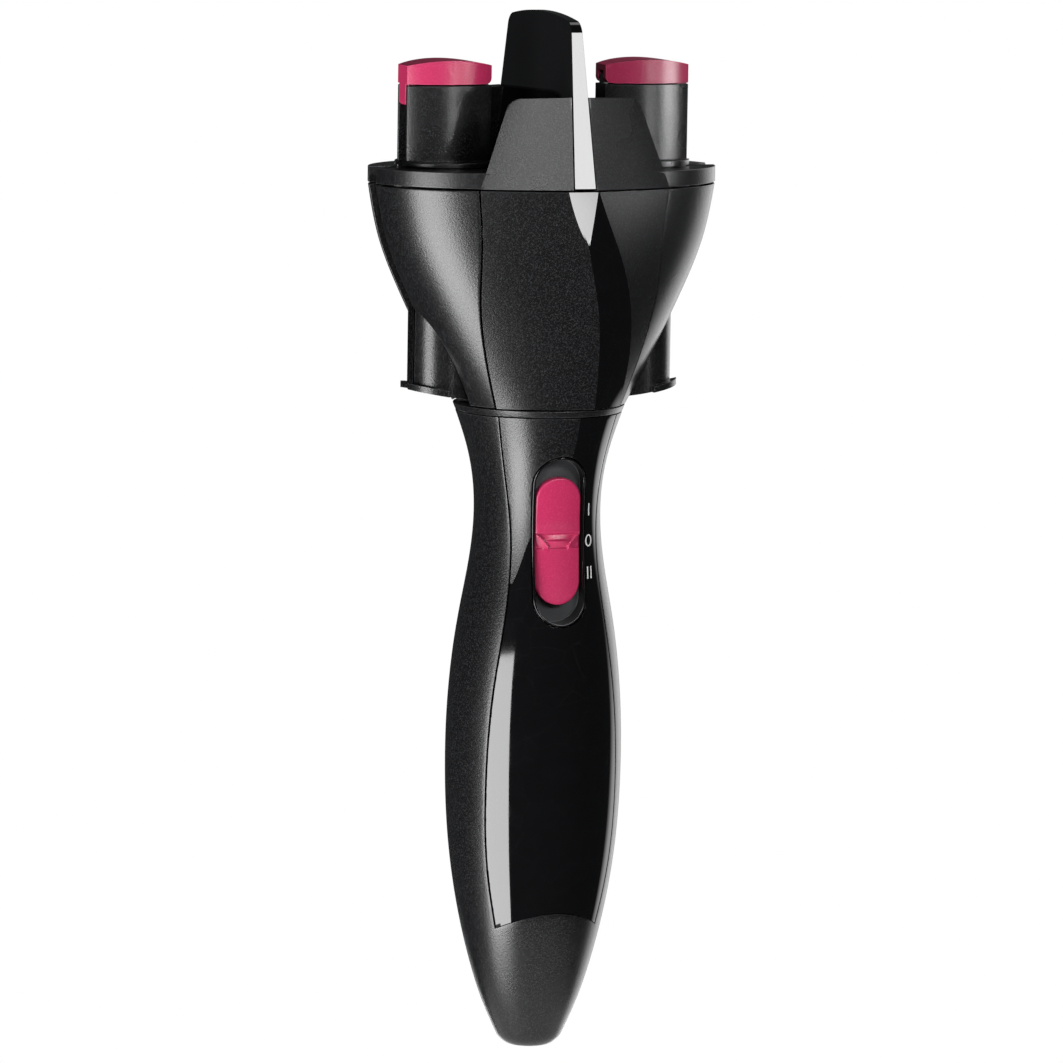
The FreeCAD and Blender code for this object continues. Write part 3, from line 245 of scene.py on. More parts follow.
handle_width = faired([
    (2.4, 8.04), (9.8, 11.4), (21.0, 15.2), (36.4, 18.8), (53.2, 21.1), (70.0, 21.9),
    (88.2, 21.4), (107.7, 19.0), (122.0, 16.4), (135.0, 15.4), (147.7, 17.0), (160.4, 21.2),
])
handle_depth = faired([
    (2.4, 7.6), (9.8, 10.1), (21.0, 13.2), (36.4, 16.9), (53.2, 19.5), (70.0, 20.6),
    (88.2, 20.5), (107.7, 19.2), (122.0, 17.5), (135.0, 17.0), (147.7, 18.1), (160.4, 21.2),
])
panel_half = faired([
    (31.8, 12.9), (43.6, 15.2), (67.0, 16.75), (92.1, 15.3), (129.0, 10.9), (140.9, 11.9), (158.5, 15.1),
])


def handle_halves(z):
    """Half width and half depth of the handle, with the rounded tip below the first station."""
    if z >= TIP_ROUND:
        return handle_width(z), handle_depth(z)
    share = max(z / TIP_ROUND, 0.0) ** TIP_FULLNESS
    tip = TIP_HALF + (handle_width(TIP_ROUND) - TIP_HALF) * share
    return tip, tip * TIP_OVAL


def handle_reach(x, z):
    """How far the handle's form stands off the middle plane at a point of the front view."""
    half_width, half_depth = handle_halves(z)
    return half_depth * math.sqrt(max(0.0, 1 - (x / half_width) ** 2))


def opening_half(z):
    """Half width of the front opening, carried on down to the tip as a share of the width."""
    if z >= PANEL_FOOT:
        return panel_half(z)
    return panel_half(PANEL_FOOT) * handle_halves(z)[0] / handle_halves(PANEL_FOOT)[0]


def laid_sheet(name, across, up, place):
    """A grid of quads whose points are laid on a form, one row above the other."""
    bpy.ops.object.select_all(action="DESELECT")
    bpy.ops.mesh.primitive_grid_add(x_subdivisions=len(across) - 1, y_subdivisions=len(up) - 1, size=1.0)
    piece = bpy.context.object
    piece.name = name
    piece.data.name = name
    for vertex in piece.data.vertices:
        column = round((vertex.co.x + 0.5) * (len(across) - 1))
        row = round((vertex.co.y + 0.5) * (len(up) - 1))
        vertex.co = place(across[column], up[row])
    return piece


def evenly(start, end, count):
    """The ends of count equal steps from start to end."""
    return [start + (end - start) * k / count for k in range(count + 1)]


def edit_all(piece, *steps):
    """Runs edit-mode steps on the whole of a piece."""
    bpy.ops.object.select_all(action="DESELECT")
    piece.select_set(True)
    bpy.context.view_layer.objects.active = piece
    bpy.ops.object.mode_set(mode="EDIT")
    bpy.ops.mesh.select_all(action="SELECT")
    for step in steps:
        step()
    bpy.ops.object.mode_set(mode="OBJECT")


def weld():
    bpy.ops.mesh.remove_doubles(threshold=1e-6)


def face_outwards():
    bpy.ops.mesh.normals_make_consistent(inside=False)


def set_modifiers(piece):
    """Applies a piece's modifiers in order."""
    bpy.ops.object.select_all(action="DESELECT")
    piece.select_set(True)
    bpy.context.view_layer.objects.active = piece
    for modifier in list(piece.modifiers):
        bpy.ops.object.modifier_apply(modifier=modifier.name)


def round_edges(piece, width, segments, angle=50):
    """Rounds every edge sharper than an angle in degrees."""
    bevel = piece.modifiers.new("edge", "BEVEL")
    bevel.width = width
    bevel.segments = segments
    bevel.limit_method = "ANGLE"
    bevel.angle_limit = math.radians(angle)
    set_modifiers(piece)


def smooth(piece, angle):
    """Smooth shading up to an angle in degrees; flats stay flat up to their rounded edges."""
    bpy.ops.object.select_all(action="DESELECT")
    piece.select_set(True)
    bpy.context.view_layer.objects.active = piece
    bpy.ops.object.shade_smooth_by_angle(angle=math.radians(angle))
    flats = piece.modifiers.new("flats", "WEIGHTED_NORMAL")
    flats.keep_sharp = True
    set_modifiers(piece)


def give_wall(piece, wall, rounding, segments=2):
    """Turns a sheet into a moulded wall with softened edges."""
    solid = piece.modifiers.new("wall", "SOLIDIFY")
    solid.thickness = wall
    solid.offset = -1.0
    solid.use_even_offset = True
    round_edges(piece, rounding, segments)
    smooth(piece, 35)


def stands_for(piece, node, body):
    """Puts a piece in the place of a CAD node, on a body that may move."""
    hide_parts(node)
    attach(piece, body)


def body_point(column, z):
    """Columns 0 to 1 cross the front between the seams, 1 to 2 go round the back."""
    half = opening_half(z) + SEAM
    if column <= 1.0:
        side = 2 * column - 1
        x = side * half
        z += PANEL_ARCH * (1 - side**2) * max(0.0, 1 - abs(z - PANEL_FOOT + SEAM) / BODY_ARCH_FADE)
        return Vector((x, -handle_reach(x, z), z))
    half_width, half_depth = handle_halves(z)
    edge = math.asin(min(half / half_width, 1.0))
    angle = edge + (2 * math.pi - 2 * edge) * (column - 1)
    return Vector((half_width * math.sin(angle), -half_depth * math.cos(angle), z))


columns = evenly(0, 1, FRONT_COLUMNS) + evenly(1, 2, BACK_COLUMNS)[1:]
rows = [height * MM for height in (0.0, 0.05, 0.2, 0.5, 1.0, 1.6, 2.4)]
rows += evenly(3.6 * MM, PANEL_FOOT - SEAM, 24) + evenly(PANEL_FOOT - SEAM, BODY_TOP, 96)[1:]
handle_shell = laid_sheet("handle_shell", columns, rows, body_point)
edit_all(handle_shell, weld)

# The front is opened for the panel, and the tip is closed with its flat.
bpy.ops.object.mode_set(mode="EDIT")
mesh = bmesh.from_edit_mesh(handle_shell.data)
bpy.ops.mesh.select_all(action="DESELECT")
for face in mesh.faces:
    spot = face.calc_center_median()
    side = spot.x / (opening_half(spot.z) + SEAM)
    foot = PANEL_FOOT - SEAM + PANEL_ARCH * (1 - side**2)
    face.select = spot.y < 0 and abs(side) < 0.995 and spot.z > foot
bmesh.update_edit_mesh(handle_shell.data)
bpy.ops.mesh.delete(type="FACE")
bpy.ops.mesh.select_all(action="DESELECT")
mesh = bmesh.from_edit_mesh(handle_shell.data)
for edge in mesh.edges:
    edge.select = edge.is_boundary and all(vertex.co.z < 0.01 * MM for vertex in edge.verts)
bpy.ops.mesh.edge_face_add()
bpy.ops.mesh.select_all(action="DESELECT")
bpy.ops.object.mode_set(mode="OBJECT")
give_wall(handle_shell, WALL, 0.22 * MM)
stands_for(handle_shell, "handle_body", "grip")


# The third shade is wear; the spark grain also lays it on rounded edges as a painted highlight.
SHADES = ("Shade", "Light shade", "Rubbed shade")
COLOURS = {"data_type": "RGBA"}


def shader_tool(name, plan):
    """A shared effect: a node group that turns three shades, a sheen and a size into a finish."""
    group = bpy.data.node_groups.new(name, "ShaderNodeTree")
    for way, labels, kind in (
        ("INPUT", SHADES, "Color"),
        ("INPUT", ("Roughness", "Size"), "Float"),
        ("OUTPUT", ("Color",), "Color"),
        ("OUTPUT", ("Roughness", "Height"), "Float"),
    ):
        for label in labels:
            group.interface.new_socket(label, in_out=way, socket_type="NodeSocket" + kind)
    entry = group.nodes.new("NodeGroupInput")
    build_nodes(group, plan, entry=entry, out=group.nodes.new("NodeGroupOutput"))
    return group


# Fine spark-eroded grain, as the mould leaves it: rounded bumps a third of a millimetre across,
# with a slightly rubbed sheen that comes and goes over the palm, and edges made lighter and
# smoother: partly rubbing by handling, partly a painted highlight along the rounded edges. It is
# turned askew, so that no face lies along the noise's own lattice.
spark_grain = shader_tool("spark_grain", {
    "place": ("TexCoord", {}),
    "turn": ("Mapping", {"Rotation": (0.61, 0.43, 0.87), "Vector": "place.Object"}),
    "bumps": (
        "TexNoise",
        {"Vector": "turn.Vector", "Scale": "entry.Size", "Detail": 3.0, "Roughness": 0.6},
    ),
    "pit_size": ("Math", {0: "entry.Size", 1: 0.9}, {"operation": "MULTIPLY"}),
    "pits": (
        "TexVoronoi",
        {"Vector": "turn.Vector", "Scale": "pit_size.Value", "Smoothness": 0.4},
        {"feature": "SMOOTH_F1"},
    ),
    "rub": ("TexNoise", {"Scale": 38.0, "Detail": 2.0, "Vector": "place.Object"}),
    "height": ("Math", {0: "bumps.Fac", 1: 1.4, 2: "pits.Distance"}, {"operation": "MULTIPLY_ADD"}),
    "rough": ("MapRange", {"To Min": -0.035, "To Max": 0.035, "Value": "rub.Fac"}),
    "speck": ("MapRange", {"From Min": 0.48, "From Max": 0.68, "Value": "bumps.Fac"}),
    "sum": ("Math", {0: "entry.Roughness", 1: "rough.Result"}, {"operation": "ADD"}),
    "mix": ("Mix", {"Factor": "speck.Result", "A": "entry.Shade", "B": "entry.Light shade"}, COLOURS),
    # Near a rounded edge the colour goes to the third shade: partly wear, partly a painted edge highlight.
    "round": ("Bevel", {"Radius": 0.45 * MM}, {"samples": 4}),
    "face": ("NewGeometry", {}),
    "lean": ("VectorMath", {0: "round.Normal", 1: "face.Normal"}, {"operation": "DOT_PRODUCT"}),
    "edge": ("MapRange", {"From Min": 0.99, "From Max": 0.85, "To Max": 0.9, "Value": "lean.Value"}),
    "wear": ("Math", {0: "edge.Result", 1: "rub.Fac"}, {"operation": "MULTIPLY"}),
    "worn": ("Mix", {"Factor": "wear.Value", "A": "mix.Result", "B": "entry.Rubbed shade"}, COLOURS),
    "sheen": ("Math", {0: "wear.Value", 1: -0.09, 2: "sum.Value"}, {"operation": "MULTIPLY_ADD"}),
    "out": (None, {"Color": "worn.Result", "Roughness": "sheen.Value", "Height": "height.Value"}),
})


def moulded_finish(name, shades, roughness, size, depth, group=spark_grain):
    """A finish from a shared effect. Shades: dark, light, and worn, which the spark grain also lays on
    rounded edges as a painted highlight. Size and depth: of its relief.
    """
    material = bpy.data.materials.new(name)
    material.use_nodes = True
    tree = material.node_tree
    looks = {label: (*shade, 1.0) for label, shade in zip(SHADES, shades)}
    looks.update({"Roughness": roughness, "Size": size})
    skin = {"Base Color": "effect.Color", "Roughness": "effect.Roughness", "Normal": "relief.Normal"}
    plan = {
        "effect": ("Group", looks, {"node_tree": group}),
        "relief": ("Bump", {"Strength": 1.0, "Distance": depth, "Height": "effect.Height"}),
        "skin": (None, skin),
    }
    build_nodes(tree, plan, skin=tree.nodes["Principled BSDF"])
    return material


def dress(piece, material):
    """Gives a piece one finish, in place of what it had."""
    piece.data.materials.clear()
    piece.data.materials.append(material)


# Its third, much lighter shade lies on the rounded edges: partly wear, partly a painted highlight.
satin_black = moulded_finish(
    "satin_black",
    [(0.003, 0.003, 0.0034), (0.026, 0.0265, 0.028), (0.06, 0.06, 0.062)],
    roughness=0.28,
    size=2700.0,
    depth=0.016 * MM,
)
dress(handle_shell, satin_black)

# ---- front panel -------------------------------------------------------------------------------
# A separate moulding in polished black ABS that snaps into the front of the handle. It follows the
# handle's form, so the seam shows only as a fine line. A stadium-shaped window takes the switch.

PANEL_ARCH_FADE = 26 * MM
SWEEP_FOOT = 112 * MM
SWEEP_LIMIT = 0.97
SWITCH_Z = 128.0 * MM
WINDOW_HALF = 7.05 * MM
WINDOW_REACH = 21.05 * MM - WINDOW_HALF
WINDOW_POINTS = 96
WINDOW_TOOL_LONG = 30 * MM
WINDOW_TOOL_Y = -18 * MM

sweep_line = faired([
    (110.0, -15.0), (114.9, -12.3), (121.6, -9.55), (128.2, -7.4), (138.0, -2.6), (148.0, 2.2), (158.5, 3.5),
])


def sweep(z):
    """Where the grained corner of the panel meets its polish."""
    free = sweep_line(z) if z > SWEEP_FOOT else -panel_half(z)
    return max(free, -SWEEP_LIMIT * panel_half(z))


def panel_point(column, z):
    """Columns 0 to 1 cross the grained corner, 1 to 2 the polish. The foot is a shallow arch."""
    if column <= 1:
        side = -1 + (sweep(z) / panel_half(z) + 1) * column
    else:
        side = 1 - (1 - sweep(z) / panel_half(z)) * (2 - column)
    x = side * panel_half(z)
    z += PANEL_ARCH * (1 - side**2) * max(0.0, 1 - (z - PANEL_FOOT) / PANEL_ARCH_FADE)
    return Vector((x, -handle_reach(x, z), z))


def cut_away(piece, tool):
    """Cuts a piece with a tool, which is then thrown away."""
    cut = piece.modifiers.new("cut", "BOOLEAN")
    cut.object = tool
    cut.operation = "DIFFERENCE"
    cut.solver = "EXACT"
    set_modifiers(piece)
    bpy.data.objects.remove(tool)


panel_columns = evenly(0, 1, 24) + evenly(1, 2, 40)[1:]
panel = laid_sheet("glossy_panel", panel_columns, evenly(PANEL_FOOT, BODY_TOP, 130), panel_point)
give_wall(panel, WALL, 0.25 * MM)

# The window is cut with a cylinder drawn out to a stadium, and its edge is bevelled.
bpy.ops.object.select_all(action="DESELECT")
bpy.ops.mesh.primitive_cylinder_add(
    vertices=WINDOW_POINTS, radius=1.0, depth=WINDOW_TOOL_LONG, location=(0, 0, 0)
)
window_tool = bpy.context.object
for index, vertex in enumerate(window_tool.data.vertices):
    turn = 2 * math.pi * (index // 2) / WINDOW_POINTS
    z = WINDOW_HALF * math.sin(turn) + math.copysign(WINDOW_REACH, math.sin(turn))
    vertex.co = Vector((WINDOW_HALF * math.cos(turn), WINDOW_TOOL_Y + vertex.co.z, SWITCH_Z + z))
edit_all(window_tool, face_outwards)
cut_away(panel, window_tool)
edit_all(
    panel,
    lambda: bpy.ops.mesh.remove_doubles(threshold=0.06 * MM),
    lambda: bpy.ops.mesh.dissolve_degenerate(threshold=0.05 * MM),
)
round_edges(panel, 0.28 * MM, 3)
smooth(panel, 35)
stands_for(panel, "front_panel", "grip")

# The panel's polish: mirror black with faint waviness and handling haze. Its upper left part is
# left grained, up to a sweeping line that runs through the switch.
polish_haze = shader_tool("polish_haze", {
    "place": ("TexCoord", {}),
    "wave": ("TexNoise", {"Detail": 1.0, "Vector": "place.Object", "Scale": "entry.Size"}),
    "smear": ("TexNoise", {"Scale": 90.0, "Detail": 4.0, "Distortion": 1.2, "Vector": "place.Object"}),
    "rough": ("MapRange", {"From Min": 0.45, "From Max": 0.8, "To Max": 0.04, "Value": "smear.Fac"}),
    "sum": ("Math", {0: "entry.Roughness", 1: "rough.Result"}, {"operation": "ADD"}),
    "mix": ("Mix", {"Factor": "smear.Fac", "A": "entry.Shade", "B": "entry.Light shade"}, COLOURS),
    "scratch": (
        "TexVoronoi",
        {"Vector": "place.Object", "Scale": 140.0, "Randomness": 1.0},
        {"feature": "DISTANCE_TO_EDGE"},
    ),
    "hair": (
        "MapRange",
        {"From Max": 0.006, "To Min": 1.0, "To Max": 0.0, "Value": "scratch.Distance"},
    ),
    "some": ("Math", {0: "hair.Result", 1: "smear.Fac"}, {"operation": "MULTIPLY"}),
    "worn": ("Mix", {"Factor": "some.Value", "A": "mix.Result", "B": "entry.Rubbed shade"}, COLOURS),
    "out": (None, {"Color": "worn.Result", "Roughness": "sum.Value", "Height": "wave.Fac"}),
})
gloss_black = moulded_finish(
    "gloss_black",
    [(0.002, 0.002, 0.0022), (0.0035, 0.0035, 0.004), (0.012, 0.012, 0.013)],
    roughness=0.045,
    size=60.0,
    depth=0.02 * MM,
    group=polish_haze,
)
dress(panel, gloss_black)
panel.data.materials.append(satin_black)
for face in panel.data.polygons:
    x, _, z = face.center
    if z > SWEEP_FOOT and -SWEEP_LIMIT * panel_half(z) < sweep_line(z) and x < sweep(z):
        face.material_index = 1

# ---- switch marks ------------------------------------------------------------------------------
# I, O and II printed in white beside the switch: strokes a third of a millimetre wide, in ink that
# lies a few hundredths proud of the polish.

MARK_X = 8.25 * MM
STROKE = 0.36 * MM
MARK_TALL = 3.0 * MM
RING_HALF = 1.05 * MM
INK = 0.04 * MM
ONE_Z = SWITCH_Z + 7.4 * MM
RING_Z = SWITCH_Z - 0.2 * MM
TWO_Z = SWITCH_Z - 8.0 * MM
TWO_STROKES = (-0.45 * MM, 0.65 * MM)


def on_panel(x, z):
    """A point of the ink's face."""
    return Vector((x, -handle_reach(x, z) - INK, z))


def one_piece(name, parts):
    """Joins parts of one moulding."""
    bpy.ops.object.select_all(action="DESELECT")
    for part in parts:
        part.select_set(True)
    bpy.context.view_layer.objects.active = parts[0]
    bpy.ops.object.join()
    parts[0].name = name
    parts[0].data.name = name
    return parts[0]


def printed_bar(x, z):
    """One upright stroke, laid on the panel."""
    bar = laid_sheet(
        "mark_bar",
        evenly(x - STROKE / 2, x + STROKE / 2, 2),
        evenly(z - MARK_TALL / 2, z + MARK_TALL / 2, 12),
        on_panel,
    )
    give_wall(bar, 1.5 * INK, 0.4 * INK, 1)
    return bar


def printed_ring(x, z):
    """A tall round stroke, laid on the panel."""

    def ring_point(turn, half):
        reach = half + MARK_TALL / 2 - RING_HALF
        return on_panel(x + half * math.cos(turn), z + reach * math.sin(turn))

    widths = evenly(RING_HALF - STROKE, RING_HALF, 2)
    ring = laid_sheet("mark_ring", evenly(2 * math.pi, 0, 48), widths, ring_point)
    edit_all(ring, weld)
    give_wall(ring, 1.5 * INK, 0.4 * INK, 1)
    return ring


marks = [printed_bar(MARK_X, ONE_Z), printed_ring(MARK_X, RING_Z)]
marks += [printed_bar(MARK_X + step, TWO_Z) for step in TWO_STROKES]
switch_marks = one_piece("switch_marks", marks)
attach(switch_marks, "grip")
print_white = moulded_finish(
    "print_white",
    [(0.88, 0.88, 0.87), (0.93, 0.93, 0.92), (0.80, 0.80, 0.79)],
    roughness=0.45,
    size=5200.0,
    depth=0.004 * MM,
)
dress(switch_marks, print_white)

# ---- battery cover -----------------------------------------------------------------------------
# A grained ABS cover that closes the battery bay at the rear. It follows the handle's form, has
# rounded corners, and four shallow grooves near its top give the thumb a hold.

COVER_HALF = 13.5 * MM
COVER_FOOT = 30.0 * MM
COVER_TOP = 93.0 * MM
COVER_CORNER = 4.0 * MM
GROOVE_COUNT = 4
GROOVE_DROP = 8.0 * MM
GROOVE_PITCH = 2.6 * MM
GROOVE_DEPTH = 0.6 * MM
GROOVE_HALF = 6.9 * MM
GROOVE_FADE = 0.8 * MM
BAY_REAR = 30 * MM
BAY_DEPTH = 26 * MM


def cover_half(z, grow=0.0):
    """Half width of the cover at a height, less near its rounded corners."""
    corner = COVER_CORNER + grow
    into = max(COVER_FOOT - grow + corner - z, z - (COVER_TOP + grow - corner), 0.0)
    return COVER_HALF + grow - corner + math.sqrt(max(corner**2 - into**2, 0.0))


def cover_point(side, z):
    """A point of the cover's face, sunk where it lies in a thumb groove."""
    x = -side * cover_half(z)
    y = handle_reach(x, z)
    below = COVER_TOP - GROOVE_DROP - z + 0.5 * GROOVE_PITCH
    if abs(x) < GROOVE_HALF and 0.0 < below < GROOVE_COUNT * GROOVE_PITCH:
        wave = 0.5 - 0.5 * math.cos(2 * math.pi * below / GROOVE_PITCH)
        y -= GROOVE_DEPTH * wave * min(1.0, (GROOVE_HALF - abs(x)) / GROOVE_FADE)
    return Vector((x, y, z))


def rounded_levels(low, high, corner, count):
    """Heights that crowd towards both ends, so that round corners get their points."""
    arc = [corner * (1 - math.cos(math.pi * k / 16)) for k in range(9)]
    middle = evenly(low + corner, high - corner, count)[1:-1]
    return [low + step for step in arc] + middle + [high - step for step in reversed(arc)]


cover_rows = rounded_levels(COVER_FOOT, COVER_TOP, COVER_CORNER, 150)
battery_cover = laid_sheet("battery_cover", evenly(-1, 1, 54), cover_rows, cover_point)
give_wall(battery_cover, WALL, 0.25 * MM)
stands_for(battery_cover, "battery_door", "battery_cover")
dress(battery_cover, satin_black)

# The opening it closes is cut through the shell, a seam wider all round.
bay_tool = laid_sheet(
    "bay_tool",
    evenly(-1, 1, 2),
    rounded_levels(COVER_FOOT - SEAM, COVER_TOP + SEAM, COVER_CORNER, 4),
    lambda side, z: Vector((-side * cover_half(z, SEAM), BAY_REAR, z)),
)
edit_all(
    bay_tool,
    lambda: bpy.ops.mesh.extrude_region_move(TRANSFORM_OT_translate={"value": (0.0, -BAY_DEPTH, 0.0)}),
    lambda: bpy.ops.mesh.select_all(action="SELECT"),
    face_outwards,
)
cut_away(handle_shell, bay_tool)
smooth(handle_shell, 35)

# ---- neck ring and switch recess ---------------------------------------------------------------
# The ring under the head is grained like the shell. The recess in which the button slides has a
# grey matt floor and polished sides. Both are mouldings with edges softened by their tool.

RECESS_SIDES = -13.9 * MM


def moulded_copy(node, name, body, rounding):
    """A CAD node's shape with its edges rounded like those of a moulding."""
    piece = bpy.data.objects.new(name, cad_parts[node].data.copy())
    bpy.context.scene.collection.objects.link(piece)
    piece.data.name = name
    piece.data.materials.clear()
    edit_all(
        piece,
        weld,
        lambda: bpy.ops.mesh.dissolve_limited(angle_limit=math.radians(1.0)),
        lambda: bpy.ops.mesh.select_all(action="SELECT"),
        face_outwards,
    )
    round_edges(piece, rounding, 3, angle=32)
    smooth(piece, 35)
    stands_for(piece, node, body)
    return piece


collar_ring = moulded_copy("neck_ring", "collar_ring", "grip", 0.25 * MM)
switch_recess = moulded_copy("switch_bezel", "switch_recess", "grip", 0.15 * MM)
dress(collar_ring, satin_black)
recess_grey = moulded_finish(
    "recess_grey",
    [(0.034, 0.036, 0.038), (0.045, 0.047, 0.050), (0.09, 0.09, 0.095)],
    roughness=0.55,
    size=2600.0,
    depth=0.008 * MM,
)
dress(switch_recess, recess_grey)
switch_recess.data.materials.append(gloss_black)
for face in switch_recess.data.polygons:
    if face.center.y < RECESS_SIDES:
        face.material_index = 1

# ---- switch button -----------------------------------------------------------------------------
# A raspberry moulding that slides in the recess, held by a stem in the switch behind it. Its face
# is hollow lengthwise, like the handle's waist, and a thumb bar with slanted ends crosses it.

BUTTON_HALF = 5.875 * MM
BUTTON_REACH = 15.65 * MM
BUTTON_FACE = 15.7 * MM
BUTTON_FOOT = 13.9 * MM
BUTTON_ROUND = 0.55 * MM
BUTTON_HOLLOW = 0.85 * MM
BUTTON_CAMBER = 0.7 * MM
STEM_SIZE = (4.0 * MM, 3.9 * MM, 5.0 * MM)
STEM_CENTRE = (0.0, -12.45 * MM, SWITCH_Z)
BAR_HALF = 2.05 * MM

# The thumb bar's rise over the face in millimetres, from its lower edge (-1) to its upper (1), and
# the shape of its ends in shares of the button's half width.
BAR_LOW = -0.78
BAR_HIGH = 0.74
BAR_STEPS = [-1.0, BAR_LOW, -0.30, -0.05, 0.18, BAR_HIGH, 1.0]
BAR_RISE = [-0.05, -0.45, 0.16, 0.42, -0.12, -0.55, 0.32]
BAR_DIP = -0.5
BAR_BULGE = 0.66
END_FOOT = 0.42
END_LEAN = 0.55
END_TALL = 1.7
END_BOW = 1.4
END_RISE = 0.30
END_FALL = 2.0
END_LOWEST = -0.45
END_RAMP = 4.5


def button_half(z):
    """Half width of the button's round-ended outline at a height."""
    into = max(abs(z - SWITCH_Z) - (BUTTON_REACH - BUTTON_HALF), 0.0)
    return math.sqrt(max(BUTTON_HALF**2 - into**2, 0.0))


def thumb_bar(side, up):
    """Height of the bar over the face, in millimetres. It widens upwards between slanted ends."""
    rise = float(np.interp(up, BAR_STEPS, BAR_RISE))
    bulge = 1 - min(abs(side) / BAR_BULGE, 1.0) ** 2
    end = END_FOOT + END_LEAN * max((up - BAR_LOW) / END_TALL, 0.0) ** END_BOW
    if abs(side) > end:
        height = max(END_RISE - END_FALL * (abs(side) - end), END_LOWEST)
        return min(1.0, END_RAMP * (1 - abs(up))) * height
    if BAR_LOW < up < BAR_HIGH:
        return BAR_DIP + (rise - BAR_DIP) * bulge
    return rise


def button_point(side, z):
    """A point of the button's face, with the thumb bar and the rounding of its edge."""
    x = side * button_half(z)
    into = max(abs(z - SWITCH_Z) - (BUTTON_REACH - BUTTON_HALF), 0.0)
    inset = BUTTON_ROUND - max(BUTTON_HALF - math.hypot(x, into), 0.0)
    depth = BUTTON_FACE + BUTTON_HOLLOW * ((z - SWITCH_Z) / BUTTON_REACH) ** 2
    depth -= BUTTON_CAMBER * (x / BUTTON_HALF) ** 2
    up = (z - SWITCH_Z) / BAR_HALF
    if abs(up) < 1:
        depth += thumb_bar(side, up) * MM
    else:
        ledge = BAR_RISE[0] if up < 0 else BAR_RISE[-1]
        depth += ledge * MM * math.exp(-((abs(up) - 1) ** 2))
    if inset > 0:
        depth -= BUTTON_ROUND - math.sqrt(BUTTON_ROUND**2 - inset**2)
    return Vector((x, -depth, z))


def block(size, centre):
    """A rectangular block."""
    bpy.ops.object.select_all(action="DESELECT")
    bpy.ops.mesh.primitive_cube_add(size=1.0, location=(0, 0, 0))
    piece = bpy.context.object
    edit_all(
        piece,
        lambda: bpy.ops.transform.resize(value=size),
        lambda: bpy.ops.transform.translate(value=centre),
    )
    return piece


arc_rows = [BUTTON_HALF * (1 - math.cos(math.pi * k / 32)) for k in range(1, 17)]
button_rows = [SWITCH_Z - BUTTON_REACH + row for row in arc_rows]
button_rows += evenly(button_rows[-1], SWITCH_Z - BAR_HALF, 12)[1:]
button_rows += evenly(SWITCH_Z - BAR_HALF, SWITCH_Z + BAR_HALF, 40)[1:]
button_rows += evenly(SWITCH_Z + BAR_HALF, SWITCH_Z + BUTTON_REACH - BUTTON_HALF, 12)[1:-1]
button_rows += [SWITCH_Z + BUTTON_REACH - row for row in reversed(arc_rows)]
button_columns = [math.sin(math.pi * k / 2) for k in evenly(-1, 1, 60)]
button_cap = laid_sheet("button_cap", button_columns, button_rows, button_point)
edit_all(
    button_cap,
    lambda: bpy.ops.mesh.extrude_region_move(TRANSFORM_OT_translate={"value": (0.0, 0.0, 0.0)}),
    lambda: bpy.ops.transform.resize(value=(1.0, 0.0, 1.0), center_override=(0.0, -BUTTON_FOOT, 0.0)),
    lambda: bpy.ops.mesh.select_all(action="SELECT"),
    face_outwards,
)
button_stem = block(STEM_SIZE, STEM_CENTRE)
round_edges(button_stem, 0.2 * MM, 2)
switch_button = one_piece("switch_button", [button_cap, button_stem])
smooth(switch_button, 32)
stands_for(switch_button, "slider_button", "slider")
# Its paler third shade lies on the rounded edges: partly wear, partly a painted highlight.
raspberry = moulded_finish(
    "raspberry",
    [(0.42, 0.020, 0.084), (0.50, 0.033, 0.116), (0.60, 0.10, 0.20)],
    roughness=0.31,
    size=2600.0,
    depth=0.008 * MM,
)
dress(switch_button, raspberry)

# ---- petals ------------------------------------------------------------------------------------
# The front and rear mouldings of the head, in grained black ABS. Each is shaped like a ship's
# prow, with a crease that drifts sideways on its way down, and a narrow flat below the fin.

HEAD_FOOT = 160.7 * MM
HEAD_TOP = 214.4 * MM
FLAT_FOOT = (200.95 * MM, 29.42 * MM)
FLAT_TOP = (214.9 * MM, 30.1 * MM)
CREASE_GAP = 0.12 * MM
FLAT_WIDEST = 6 * MM

crease_drift = faired([(160.7, 7.1), (187.0, 4.97), (200.95, 1.7), (214.9, -0.5)])
crease_depth = faired([(160.7, 20.9), (187.0, 27.4), (200.95, 29.42), (214.9, 31.0)])
flank_width = faired([(160.7, 15.7), (187.0, 22.3), (200.95, 23.0), (214.9, 24.3)])
flank_depth = faired([(160.7, 14.64), (187.0, 19.98), (200.95, 22.47), (214.9, 23.2)])
flank_end = faired([(160.7, 27.5), (187.0, 49.1), (200.95, 55.2), (214.9, 60.75)])
petal_half = faired([(159.7, 15.7), (173.1, 19.66), (187.0, 22.3), (200.95, 23.0), (215.9, 24.3)])


def arc_depth(x, start, middle, end):
    """Depth at x of the round that passes through three plan points (x, depth)."""
    (ax, ay), (bx, by), (cx, cy) = start, middle, end
    turn = 2 * (ax * (by - cy) + bx * (cy - ay) + cx * (ay - by))
    a2, b2, c2 = ax**2 + ay**2, bx**2 + by**2, cx**2 + cy**2
    centre_x = (a2 * (by - cy) + b2 * (cy - ay) + c2 * (ay - by)) / turn
    centre_y = (a2 * (cx - bx) + b2 * (ax - cx) + c2 * (bx - ax)) / turn
    radius_2 = (ax - centre_x) ** 2 + (ay - centre_y) ** 2
    return centre_y + math.sqrt(radius_2 - (x - centre_x) ** 2)


def prow_depth(x, z):
    """Depth of the prow: on each side of the crease a round that runs on into the wing."""
    drift = crease_drift(z)
    hand = 1.0 if x >= drift else -1.0
    flank = (hand * flank_width(z), flank_depth(z))
    return arc_depth(x, (drift, crease_depth(z)), flank, (hand * flank_end(z), 0.0))


def flat_depth(z):
    """Depth of the narrow flat, which leans forwards on its way up."""
    (low_z, low), (top_z, top) = FLAT_FOOT, FLAT_TOP
    return low + (top - low) * (z - low_z) / (top_z - low_z)


